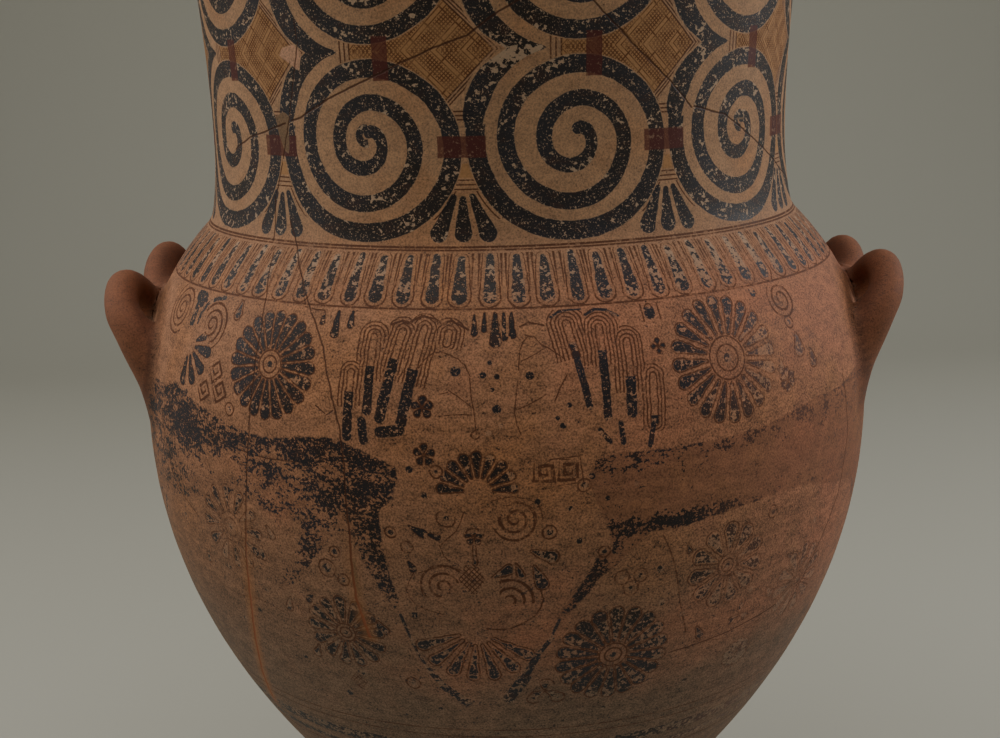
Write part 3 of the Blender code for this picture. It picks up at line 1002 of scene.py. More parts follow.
nearest, chosen = np.full(face_count, NEAREST_FROM), np.full(face_count, -1)
for number, (kind, turn, way, reach, _, eye, width, third, fourth, lean) in enumerate(stamps):
    close = np.flatnonzero(
        (np.abs(turned_by(face_turn, turn)) < TURN_SPAN) & (np.abs(face_way - way) < WAY_SPAN)
    )
    across, along = flat_place(face_turn[close], face_way[close], turn, way)
    gap = np.hypot(across, along) - reach
    if kind == LOCK or (kind == PETALS and third == 0):
        sideways, upwards = math.sin(math.radians(lean)), math.cos(math.radians(lean))
        up = across * sideways + along * upwards
        low, high = (-eye, eye) if kind == LOCK else (0, reach - width)
        beyond = up - np.clip(up, low, high)
        gap = np.hypot(np.hypot(across - up * sideways, along - up * upwards), beyond)
        without_arches = (kind == LOCK and eye > 0) & (up < eye * (2 * fourth - 1) - 9)
        gap -= np.where(without_arches, width + 1, reach - high)
    better = gap < nearest[close]
    nearest[close[better]] = gap[better]
    chosen[close[better]] = number
here, k, turn, way = corners_that_keep(chosen)
kinds, turns, ways, reaches, counts, eyes, widths, thirds, fourths, leans = np.array(stamps).T
across, along = flat_place(turn, way, turns[k], ways[k])
sideways, upwards = np.sin(np.radians(leans[k])), np.cos(np.radians(leans[k]))
own_place = (across * upwards - along * sideways, across * sideways + along * upwards, reaches[k])
keep_at_corners("ornament place", here, own_place, NO_ORNAMENT)
keep_at_corners("ornament form", here, (counts[k], eyes[k], widths[k]))
keep_at_corners("ornament kind", here, (kinds[k], thirds[k], fourths[k]))
print(len(here), "corners keep a place in an ornament")

# %% Strokes and cracks for every corner
NO_STROKE = (30.0, 30.0, 0.1)


def keep_lengths(name, lengths):
    """Stores how far each corner is beside and past its nearest length, and the half-width."""
    nearest, chosen = np.full(face_count, 40.0), np.full(face_count, -1)
    ends = []
    for number, ((turn_a, way_a), (turn_b, way_b), width) in enumerate(lengths):
        radius = radius_at((way_a + way_b) / 2)
        span = np.array([math.radians(turn_b - turn_a) * radius, way_b - way_a])
        size = float(np.hypot(*span))
        ends.append((turn_a, way_a, radius, *(span / size), size, width))
        x, y = np.radians(turned_by(face_turn, turn_a)) * radius, face_way - way_a
        on = np.clip((x * span[0] + y * span[1]) / size, 0, size)
        gap = np.hypot(x - on * span[0] / size, y - on * span[1] / size) - width
        better = gap < nearest
        nearest[better] = gap[better]
        chosen[better] = number
    here, k, turn, way = corners_that_keep(chosen)
    turn_a, way_a, radius, dx, dy, size, width = np.array(ends)[k].T
    x, y = np.radians(turned_by(turn, turn_a)) * radius, way - way_a
    past = np.abs(x * dx + y * dy - size / 2) - size / 2
    keep_at_corners(name, here, (x * dy - y * dx, past, width), NO_STROKE)
    print(len(here), "corners keep a", name)


keep_lengths("stroke", strokes)
keep_lengths("crack", cracks)

# %% [markdown]
# ## The two horses
#
# Two horses face each other across the front, each a plain dark shape with long thin legs. Each
# is a closed outline in turn and way, and every point of the wall keeps its distance to the
# nearer one, less than nothing inside it. A distance can be pushed about with noise in the
# material, which gives the ragged edge of old slip.

# %% Horse shapes
left_horse = [
    (-62.5, -108), (-56, -103), (-52.5, -108), (-45, -115), (-38.5, -120), (-35, -122),
    (-25, -117), (-22.5, -118), (-18, -125), (-15, -130), (-14.5, -138), (-15.5, -150),
    (-17.5, -158), (-17, -188), (-16.4, -200), (-15.5, -216), (-16.5, -220), (-17.5, -214),
    (-19, -200), (-21, -184), (-22.3, -171), (-24, -173), (-26.2, -184), (-28.6, -196),
    (-31, -207), (-34, -219), (-35.4, -218), (-33.2, -203), (-30.4, -187), (-29, -171),
    (-36, -166), (-41.5, -164), (-47.5, -168), (-55.5, -176), (-62, -180), (-68, -185),
    (-71, -205), (-74, -232), (-73, -262), (-77, -262), (-78.5, -232), (-77.5, -205), (-80, -180),
    (-83, -150), (-80, -122), (-72, -108),
]
right_horse = [
    (57, -117), (48.5, -117), (40, -122), (36, -125), (30.5, -126), (21.5, -127), (14.5, -126),
    (11, -129), (10, -143), (12.5, -168), (13.5, -183), (11.2, -187), (9.6, -200), (8, -211),
    (6.2, -221), (7.6, -223), (9.5, -213), (11.6, -201), (14.5, -191), (16.5, -183), (18.5, -175),
    (23.5, -175), (29, -172), (34.5, -170), (40, -168), (46, -170), (55, -178), (64, -186),
    (68, -206), (71, -232), (70, -262), (74, -262), (76, -232), (75, -205), (78, -180),
    (80, -150), (77, -124), (69, -110),
]
FRIEZE_RADIUS = 246


def shape_distance(corners):
    """Each point's distance to a closed outline in millimetres, less than nothing inside it."""
    corners = np.array([(math.radians(t) * FRIEZE_RADIUS, w) for t, w in corners])
    x, y = np.radians(point_turn) * FRIEZE_RADIUS, point_way
    nearest = np.full(len(x), 200.0)
    inside_shape = np.zeros(len(x), dtype=bool)
    for (ax, ay), (bx, by) in zip(corners, np.roll(corners, -1, axis=0)):
        dx, dy = bx - ax, by - ay
        on = np.clip(((x - ax) * dx + (y - ay) * dy) / (dx * dx + dy * dy), 0, 1)
        nearest = np.minimum(nearest, np.hypot(x - ax - on * dx, y - ay - on * dy))
        crosses = (ay > y) != (by > y)
        inside_shape ^= crosses & (x < ax + (y - ay) * dx / (dy if dy else 1e-9))
    return np.where(inside_shape, -nearest, nearest)


horse = np.minimum(shape_distance(left_horse), shape_distance(right_horse))
store("horse", "FLOAT", "POINT", horse)
print(int((horse < 0).sum()), "points are inside the horses")

# %% [markdown]
# ## Wear
#
# How worn the painting is changes from place to place: little on the neck, more on the belly,
# and most where hands and the ground rubbed it. It starts from a few slow changes down and round
# the jar. Then soft patches are added or taken away, each with its turn, its way, its spread
# across and along in millimetres, and how much more worn it is in the middle.

# %% Wear


def smooth_step(value, low, high):
    share = np.clip((value - low) / (high - low), 0, 1)
    return share * share * (3 - 2 * share)


depth = -point_way
worn = 0.245 + 0.085 * smooth_step(depth, -2, 6) - 0.03 * smooth_step(depth, 36, 60)
worn += 0.14 * smooth_step(depth, 105, 190) + 0.06 * smooth_step(point_turn, 5, 45) * (depth > 0)
worn -= 0.08 * smooth_step(np.abs(point_turn), 100, 150)
for turn, way, across, along, more in (
    (-44, -150, 34, 12, 0.2), (-55, -125, 30, 14, -0.12), (30, -150, 90, 14, 0.42),
    (-30, -122, 40, 7, -0.2), (-21, -148, 26, 26, -0.16), (-17.5, -190, 12, 34, -0.2),
    (-28.5, -190, 8, 22, -0.16), (25, -170, 50, 6, -0.42), (10, -205, 12, 22, -0.25),
    (14, -130, 18, 8, -0.05), (0, -112, 22, 8, 0.2), (62, -150, 50, 34, 0.2),
    (54, -205, 24, 40, -0.1), (49, -238, 26, 26, -0.1), (-43, -182, 26, 22, 0.14),
    (3, 108, 22, 9, 0.45), (-50, -230, 60, 40, 0.25), (45, -250, 60, 40, 0.25),
    (-24, 66, 30, 10, 0.06), (14, 40, 30, 8, 0.1), (-38, -20, 48, 18, 0.16),
    (38, -20, 50, 18, 0.16), (40, -92, 22, 24, 0.24), (44, 90, 30, 30, 0.1),
    (-2, -205, 34, 50, -0.14), (14, -256, 34, 30, -0.08), (-20, -240, 20, 16, -0.1),
    (-45, -200, 40, 40, -0.08), (-52, -128, 26, 16, -0.14), (-60, -165, 20, 20, -0.1),
    (-36, -145, 26, 8, -0.1), (2, -146, 14, 14, 0.1), (-34, -163, 22, 5, -0.12),
):
    x, y = flat_place(point_turn, point_way, turn, way)
    worn += more * np.exp(-((x / across) ** 2) - (y / along) ** 2)
store("worn", "FLOAT", "POINT", np.clip(worn, 0, 1))
print("wear runs from", round(float(worn.min()), 2), "to", round(float(worn.max()), 2))

# %% [markdown]
# ## Handles, painted shade and mends
#
# The handles were never painted, so the points that stand off the wall are marked as bare. Painted
# shade darkens the places where the light is dim: the side of a coil that looks at the wall, and
# the groove where coil and wall meet. The last numbers are distances to the patches of plaster and
# mortar with which missing chips were filled.

# %% Bare clay, painted shade and fillings
beside = by_handles(points, 0.62)
store("bare", "FLOAT", "POINT", smooth_step(off_wall, 1.2, 5.0) * beside)
inwards = -outwards(numbers_of(jar.data.vertices, "normal"), points)
coil_gap = np.full(len(points), 1.0)
coil_gap[beside] = coil_distance(points[beside])
# Painted shade: darker on the side of a coil that faces the wall, and in the groove at each coil's
# root.
pocket_shade = smooth_step(inwards, -0.35, 0.6) * smooth_step(off_wall, 36, 14) * (off_wall > 1.5)
pocket_shade = np.maximum(pocket_shade, 0.8 * smooth_step(coil_gap * 1000, 12, 1) * (off_wall < 6))
store("pocket_shade", "FLOAT", "POINT", np.where(coil_gap < 0.05, pocket_shade, 0.0))
filled = np.full(len(points), 30.0)
for patch in (
    [(-42.3, 113), (-39.8, 115), (-35.7, 115), (-35.4, 111), (-36.5, 100), (-37.5, 101),
     (-38.7, 105), (-40.1, 106)],
    [(-43.6, 73), (-41.4, 76), (-39.7, 75), (-40.3, 64), (-40.4, 50), (-41.4, 50), (-42.4, 60),
     (-43.5, 67)],
    [(-22.2, -188), (-21.4, -188), (-21.2, -212), (-21.9, -216)],
    [(45, 69), (50, 67), (50, 63), (45, 64)],
    [(130, -62), (139, -64), (141, -76), (133, -79)],
):
    filled = np.minimum(filled, shape_distance(patch))
store("filled", "FLOAT", "POINT", filled)
print(int((pocket_shade > 0.5).sum()), "points are shaded and", int((filled < 0).sum()), "are filled")

# %% [markdown]
# ## Finishes that both clays share
#
# Fired clay is never one tone. It has cloudy patches from the kiln, faint streaks round the jar
# from the wheel and the brush, and a fine grain with pits where temper fell out. The inside and
# the outside both need this, so it is one node group that each material sizes for itself.
#
# The second group says where old slip paint is still there: fine flakes, and larger islands
# drawn out sideways by wiping, for how worn the place is. From the same noise it also gives
# crumbs, the few dark specks that a lost painting leaves all over its ground.

# %% Helpers for materials


def read(tree, name, output="Fac"):
    """What the mesh keeps under that name, as a number or as a vector."""
    node = new_node(tree, "ShaderNodeAttribute", {"attribute_name": name})
    return Wire(tree, node.outputs[output])


def noise(tree, place, across, up, detail, rough, output="Fac"):
    """Cloudy noise, with so many blobs per metre across and up."""
    sized = new_node(
        tree, "ShaderNodeVectorMath", {"operation": "MULTIPLY"}, i0=place, i1=(across, across, up),
    )
    made = new_node(
        tree, "ShaderNodeTexNoise",
        Vector=sized.outputs[0], Scale=1.0, Detail=detail, Roughness=rough,
    )
    return Wire(tree, made.outputs[output])


def scaled(tree, vector, by):
    """A vector or a colour, made so many times as great."""
    node = new_node(tree, "ShaderNodeVectorMath", {"operation": "SCALE"}, i0=vector, Scale=by)
    return node.outputs[0]


def shader_group(name, vectors, numbers, results):
    """A node group with named sockets, and a Wire for each of its inputs."""
    tree = bpy.data.node_groups.new(name, "ShaderNodeTree")
    for label in vectors + numbers:
        kind = "NodeSocketVector" if label in vectors else "NodeSocketFloat"
        tree.interface.new_socket(label, in_out="INPUT", socket_type=kind)
    for label in results:
        tree.interface.new_socket(label, in_out="OUTPUT", socket_type="NodeSocketFloat")
    given = tree.nodes.new("NodeGroupInput").outputs
    return tree, *(Wire(tree, given[label]) for label in vectors + numbers)


def end_group(tree, **results):
    end = tree.nodes.new("NodeGroupOutput")
    for name, value in results.items():
        plug(tree, end.inputs[name], value)
    print("the group", tree.name, "has", len(tree.nodes), "nodes")
    return tree


def use_group(tree, group, **values):
    """Adds the group to a tree, and gives back its results by name."""
    node = new_node(tree, "ShaderNodeGroup", {"node_tree": group}, **values)
    return {socket.name: Wire(tree, socket) for socket in node.outputs}


def nearest_of(first, *others):
    """The least of several distances, which is the distance to all the shapes together."""
    for other in others:
        first = first.least(other)
    return first


# %% Clay grain


def clay_grain_group():
    tree, place, streaks, pits = shader_group(
        "clay grain", ["Place"], ["Streaks", "Pits"],
        ["Tone", "Redness", "Mottle", "Speck", "Height"],
    )
    cloud = noise(tree, place, 11, 11, 4, 0.6)
    streak = noise(tree, place, 16, 330, 3, 0.6)
    mottle = noise(tree, place, 95, 170, 4, 0.62)
    grain = noise(tree, place, 900, 900, 2, 0.65)
    pit, speck = grain.ramp(0.31, 0.25), grain.ramp(0.60, 0.67)
    tone = cloud - 0.5 + (streak - 0.5) * streaks + (mottle - 0.5) * 2.1 + (grain - 0.5) * 4.8
    tone = tone - (pit + speck * 0.3) * pits + 0.5
    height = grain * 0.24 + mottle * 0.12 - pit * 0.16
    return end_group(tree, Tone=tone, Redness=cloud, Mottle=mottle, Speck=speck, Height=height)


clay_grain = clay_grain_group()

# %% Old slip
EDGE_OF_FLAKE, CRUMB_ISLANDS = 0.012, 0.3


def old_slip_group():
    tree, place, worn, islands, fineness, stray = shader_group(
        "old slip", ["Place"], ["Worn", "Islands", "Fineness", "Stray"], ["Kept", "Crumbs"],
    )
    place = scaled(tree, place, fineness)
    fine = noise(tree, place, 560, 640, 2, 0.6)
    island = noise(tree, place, 105, 185, 4, 0.7)

    def left(islands, worn):
        level = fine + (island - fine) * islands - ((worn - 0.5) * 0.36 + 0.5)
        return level.ramp(-EDGE_OF_FLAKE, EDGE_OF_FLAKE)

    return end_group(tree, Kept=left(islands, worn), Crumbs=left(CRUMB_ISLANDS, stray))


old_slip = old_slip_group()

# %% [markdown]
# ## Ornaments as distances
#
# Every ornament turns into two distances: one to its dark slip and one to its thin brown lines.
# A petal is a round-ended shape that widens outwards, repeated by folding the angle. A scroll
# is a circle whose radius grows with the turn. A lock of mane is a long drop under nested
# arches, and a dot is a lock without length, with a ring for its halo. A lattice is two rows of
# slanting lines. One group holds all four, and the kind that a face keeps picks between them.

# %% Ornament group
HAIR, FAR = 0.45, 50.0


def ornament_group():
    tree, place, form, kind, wobble = shader_group(
        "ornaments", ["Place", "Form", "Kind"], ["Wobble"], ["Dark", "Brown"],
    )
    x, y, reach = split(tree, place)
    count, eye, width = split(tree, form)
    kind, third, fourth = split(tree, kind)
    from_middle, round_it = distance(x, y), x.angle(y)

    sector = 2 * math.pi / count.most(1)
    fold = round_it - (round_it / sector).whole().least(third).most(-third) * sector
    out, aside = from_middle * fold.cosine(), from_middle * fold.sine()
    thin = width * 0.28
    start, end = eye + thin, reach - width
    along = (out - start).ramp(0, (end - start).most(0.1))
    petal = distance(out - start - along * (end - start), aside) - thin
    petal = petal - (width - thin) * along + wobble
    only_part = (1 - (third * 2 + 1).above(count)) * FAR
    petal_dark = (petal + fourth).least(from_middle - eye * 0.20 + only_part)
    hoops = abs(from_middle - eye * 0.55).least(abs(from_middle - eye * 0.90)) - 0.55 + only_part
    petal_brown = (abs(petal + 0.1) - 0.48).least(hoops)

    spread = from_middle + (abs(x).most(abs(y)) - from_middle) * third
    winding = spread / count.most(0.5) - round_it / (2 * math.pi)
    curl = abs(winding - winding.whole()) * count - width
    curl = curl.most(spread - reach).most(count * 0.35 - spread) + wobble * 0.6

    from_spine = distance(x, y - y.least(eye).most(-eye)) + wobble
    cut = y - eye * (fourth * 2 - 1)
    long = eye.above(0.5)
    lock_dark = (from_spine - width).most((cut + FAR) * long - FAR)
    nests = abs(from_spine - (from_spine / 2.2).whole().most(1).least(count) * 2.2) - HAIR
    halo = abs(from_spine - reach + 1) - 0.52 + count.below(0.5) * FAR
    lock_brown = halo + (nests.most(-cut - 9) - halo) * long

    net = (x + y * 0.9).stripe(3.0).least((x - y * 0.9).stripe(3.0)) - HAIR
    net = net.most(abs(x) + abs(y) * third - reach * 0.75)

    def only(number):
        return abs(kind - number).above(0.5) * (2 * FAR)

    dark = (petal_dark + only(PETALS)).least(lock_dark + only(LOCK))
    brown = nearest_of(petal_brown + only(PETALS), curl + only(SCROLL),
                       lock_brown + only(LOCK), net + only(LATTICE))
    return end_group(tree, Dark=dark, Brown=brown)


ornaments = ornament_group()

# %% [markdown]
# ## The neck's running scrolls
#
# Round the neck run two rows of great spirals, the upper a mirror of the lower. Every other
# spiral starts from a small hook. From each spiral an arm climbs to a pointed cusp, deep red
# bars tie neighbours together, and the corners between them are filled with ochre lozenges,
# plaited over with fine lines, and with small palms of three petals above and below. All of it
# repeats every 36 degrees, so one cell is described, in millimetres from a spiral's middle, and
# its coordinate is folded round the jar. Nothing has to be kept in the mesh for it.

# %% The spiral's shape
CELL_TURN, CELL_WIDTH, CELL_START = 36.0, 122.5, 22.8
LOW_ROW, FOLD = 61.0, 48.8
LAPS, REACH_OF_SPIRAL, REACH_OF_ARM = 3, 64, -70
SPIRAL = [
    (0, 3.5), (0.083, 4), (0.167, 5), (0.25, 6.2), (0.333, 8.5), (0.417, 12.3), (0.5, 16),
    (0.583, 19), (0.667, 20.6), (0.75, 20.2), (0.833, 20), (0.917, 19.8), (1, 20.5),
    (1.083, 21.6), (1.167, 23.9), (1.25, 27.2), (1.333, 30.2), (1.417, 33.8), (1.5, 37),
    (1.583, 39.5), (1.667, 41.4), (1.75, 42.2), (1.833, 41.5), (1.917, 40), (2, 39.5),
    (2.083, 40.9), (2.167, 45), (2.25, 49.4), (2.333, 52), (2.417, 52.8), (2.5, 53.6),
    (2.583, 56.6), (2.667, 59), (2.75, 59.4), (3, 59.4),
]
ARM_LEFT = [
    (0, -63.8), (8, -65.4), (16, -65.8), (22, -64.4), (28, -62), (34, -58.6), (40, -53.4),
    (44, -47.8), (47, -43.2), (50, -38.6),
]
ARM_RIGHT = [
    (0, -56.2), (5, -55.6), (12, -53.9), (20, -50.5), (28, -46.8), (33, -43.2), (38, -37.9),
    (43, -31.2), (46, -25), (48, -19.4), (50, -17),
]
print("the spiral is drawn from", len(SPIRAL), "places over", SPIRAL[-1][0], "turns")

# %% Neck group


def neck_group():
    tree, turn, rise, wobble = shader_group(
        "neck scrolls", [], ["Turn", "Rise", "Wobble"], ["Dark", "Brown", "Red", "Ochre", "Net"],
    )
    cell = (turn + CELL_START) / CELL_TURN
    x = ((cell + 0.55).part() - 0.55) * CELL_WIDTH
    beside = ((cell + 0.05).part() - 0.5) * CELL_WIDTH
    y = FOLD - abs(rise - LOW_ROW - FOLD)
    from_middle, round_it = distance(x, y), (x.angle(y) / (2 * math.pi)).part()

    odd = ((cell + 0.05).whole() / 2).part().above(0.25)
    hook = (abs(distance(x + 2.4, y - 1.5) - 4.4) - 2.3).most(x + 1.2) + odd * FAR
    band = (distance(x + 0.3, y - 3.6) - 3.6).least(hook)
    edges = []
    for lap in range(LAPS):
        laps = round_it + lap
        middle, half = laps.shaped(SPIRAL, 0, REACH_OF_SPIRAL), laps * 0.45 + 4.2
        edges.append(middle + half)
        lap_band = abs(from_middle - middle) - half
        band = band.least(lap_band.most((laps - 2.77) * 150) if lap == LAPS - 1 else lap_band)
    outside = from_middle - edges[2] + (edges[2] - edges[1]) * round_it.above(0.77)
    left, right = (y.shaped(side, REACH_OF_ARM, 0) for side in (ARM_LEFT, ARM_RIGHT))
    arm = (left - x).most(x - right) * 0.75
    scrolls = band.least(arm.most(-y)) + wobble

    upright = (abs(x - 9.3) - 4.7).most(abs(rise - 105.8) - 12.4)
    level = (abs(beside) - 14).most(abs(y + 5.2) - 6.1)
    red = upright.least(level) + wobble

    down = -(y + 20.5)
    tilt = abs(beside).angle(down)
    outer_petal = tilt.above(0.2)
    tilt = tilt - outer_petal * 0.4
    far = distance(beside, down)
    out, aside = far * tilt.cosine(), far * tilt.sine()
    reach = outer_petal * 3 + 19
    along = ((out - 14) / reach).ramp(0, 1)
    palm = distance(out - 14 - along * reach, aside) - 1.9 - along * 3.2 + wobble

    clear = 0.7 - outside
    collar = ((y + 26.4).stripe(2.6) - 0.4).most(abs(y + 26.4) - 4.6).most(clear)
    stems = (abs(outside - 2.0) - 0.4).most(y + 30).most(-y - 46)
    steps = ((y - 12.4).stripe(2.3) - HAIR).most(abs(y - 12.4) - 3.2)
    steps = steps.most(clear).most(abs(beside) - 7)
    slope = (beside - y + 24.4) * 0.707
    border = ((slope + 1.7).stripe(1.7) - 0.42).most(abs(slope + 1.7) - 2.2)
    uprights = ((x + 12.8).stripe(3.05) - 0.5).most(abs(x + 12.8) - 3.6)
    frame_lines = border.least(uprights).most(clear).most(15 - y).most(1.4 - arm)

    lozenge = (slope + 3.6).least(abs(x) - 9.9).most(clear).most(12 - y)
    along, over = (beside + y) * 0.707, (beside - y) * 0.707
    seam = along.stripe(12.25)
    plait = (along.stripe(1.75).least(over.stripe(1.75)) - 0.36).most(2.2 - seam)
    net = nearest_of(plait, abs(seam - 1.3) - 0.34, over.stripe(12.25) - 0.5).most(lozenge)
    collar_wash = (abs(beside) - 8).most(clear).most(abs(y + 18.5) - 4.0)
    return end_group(
        tree, Dark=scrolls.least(palm), Brown=nearest_of(frame_lines, collar, stems, steps),
        Red=red, Ochre=lozenge.least(collar_wash), Net=net,
    )


neck_scrolls = neck_group()

# %% [markdown]
# ## Tongues and ground lines
#
# Under the neck hangs a row of eighty-four tongues, each a dark drop inside a thin brown outline
# with hair lines in the gap. Each differs a little, as brushed ones do. Below the animals come
# plain ring lines and bands, tall rays and the banded foot, and on the lip a row of bars. The
# photograph stops above the rays and below the lip, so these follow the usual scheme.

# %% Band group
TONGUE_TURN, RAY_TURN, BAR_TURN = 360 / 84, 15.0, 9.0
RAY_FOOT, RAY_TIP, LIP_BARS = -428, -338, 272
BROWN_RINGS = ((-0.3, 0.6), (-1.9, 0.5), (-31.4, 0.5), (-294.0, 0.4), (-300.0, 0.4), (-330.0, 0.5))
DARK_RINGS = (
    (-312.0, 4.0), (-324.0, 2.0), (-436.0, 3.0), (-456.0, 5.0), (-492.0, 3.0), (-530.0, 7.0),
    (-560.0, 3.0), (-596.0, 9.0), (240.0, 1.2), (249.0, 1.6),
)


def band_group():
    tree, turn, rise, radius, wobble = shader_group(
        "bands", [], ["Turn", "Rise", "Radius", "Wobble"], ["Dark", "Brown"],
    )
    pitch = radius * math.radians(TONGUE_TURN)
    step = (turn - 2) / TONGUE_TURN
    chance = (step.whole() * 2.4).sine()
    aside = ((step + 0.5).part() - 0.5) * pitch + chance * 0.5
    upper = rise.most(-100)
    down = upper * (upper * -0.0041 - 1.434)
    start, length = 7.8 + chance * 1.2, 26.2 - chance * 1.6
    along = ((down - start) / length).ramp(0, 1)
    end = distance(aside, down - start - along * length)
    tongue = end - 2.0 - along * (2.1 + chance * 0.35) + wobble
    rim = (abs(tongue - 2.2) - down.ramp(6, 40, 0.25, 0.55)).most(5 - down)
    gap = pitch / 2 - abs(aside)
    hairs = (abs(gap - 1.4) - down.ramp(5, 30, 0.75, 0.15)).most(5 - down).most(down - 27)

    def rings(places):
        return nearest_of(*(abs(rise - height) - half for height, half in places))

    beside_ray = abs((turn / RAY_TURN).part() - 0.5) * radius * math.radians(RAY_TURN)
    ray = (beside_ray - (RAY_TIP - rise) * 0.085).most(rise - RAY_TIP).most(RAY_FOOT - rise)
    bars = (abs((turn / BAR_TURN).part() - 0.5) * BAR_TURN - 2.6).most(abs(rise - LIP_BARS) - 8)
    return end_group(
        tree, Dark=tongue.most(rise - 1).least(nearest_of(ray, rings(DARK_RINGS), bars) + wobble),
        Brown=rim.least(hairs).most(down - 41).least(rings(BROWN_RINGS)),
    )


bands = band_group()

# %% [markdown]
# ## The painted clay
#
# The outside material puts the layers on in the order that the painter and the years did:
# fired clay, ochre hatching, brown lines, dark slip and deep red, then the loss of slip, the
# cracks between sherds and the restorer's fillings. Most cracks are thin and dark, but on the
# lower left they are open and show fresh orange clay. Only the colour, the roughness and the
# height change over the surface.
#
# Each layer is a share and a paint. One helper lays them over each other in turn, so that the
# list below reads like the history of the jar.

# %% Paints


def colour(red, green, blue):
    """A paint colour as it looks on a screen, as the linear colour that a shader takes."""
    seen = [v / 255 for v in (red, green, blue)]
    linear = [v / 12.92 if v <= 0.04045 else ((v + 0.055) / 1.055) ** 2.4 for v in seen]
    return (*linear, 1.0)


def layered(tree, base, *layers):
    """Colours laid over the base one after another, each with its share."""
    for share, paint in layers:
        mix = new_node(tree, "ShaderNodeMix", {"data_type": "RGBA"}, i0=share, i6=base, i7=paint)
        base = mix.outputs[2]
    return base


# The third colour on the next line is partly the clay's greyer tone and partly painted shade for
# the dim lower belly.
NECK_BUFF, BODY_CLAY, LOW_CLAY_AND_SHADE = colour(200, 156, 120), colour(184, 132, 99), colour(140, 114, 95)
ORANGE_CLAY, RED_CLAY = colour(204, 136, 84), colour(186, 116, 88)
HANDLE_CLAY, INSIDE_CLAY, LOW_INSIDE_CLAY = colour(152, 100, 74), colour(178, 122, 84), colour(128, 96, 74)
# The third colour on the next line is painted shade, a dark brown for the sheltered places round
# the handles.
PLASTER, MORTAR, POCKET_SHADE_COLOUR = colour(222, 170, 138), colour(140, 112, 86), colour(80, 52, 42)
DARK_SLIP, BLUE_SLIP = colour(34, 32, 33), colour(47, 50, 60)
BROWN_SLIP, FADED_SLIP = colour(72, 47, 40), colour(116, 72, 56)
BROWN_LINE, OCHRE, NET_LINE = colour(98, 57, 37), colour(204, 148, 92), colour(118, 72, 42)
DEEP_RED, CRACK, FRESH_BREAK = colour(106, 50, 43), colour(82, 46, 30), colour(172, 98, 64)
GHOST, HORSE_GHOST = colour(212, 186, 158), colour(132, 84, 62)
BUMP_STRENGTH, BUMP_DEPTH = 0.8, 0.001


def start_clay(material):
    """Turns nodes on, and gives the tree and the place on the jar in metres."""
    material.use_nodes = True
    tree = material.node_tree
    place = new_node(tree, "ShaderNodeTexCoord").outputs["Object"]
    return tree, place, *split(tree, place)


def finish_clay(tree, clay, rough, height, shine):
    """Gives the shader its colour, its roughness, its fine relief and its shine."""
    bump = new_node(
        tree, "ShaderNodeBump", Strength=BUMP_STRENGTH, Distance=BUMP_DEPTH, Height=height,
    )
    inputs = tree.nodes["Principled BSDF"].inputs
    for name, value in (("Base Color", clay), ("Roughness", rough), ("Normal", bump.outputs[0])):
        plug(tree, inputs[name], value)
    inputs["Specular IOR Level"].default_value = shine
    print("this clay has", len(tree.nodes), "nodes")


# %% Painted clay
AWAY, NECK_PAINT_TOP, FRIEZE_TOP = 60, 231, -32


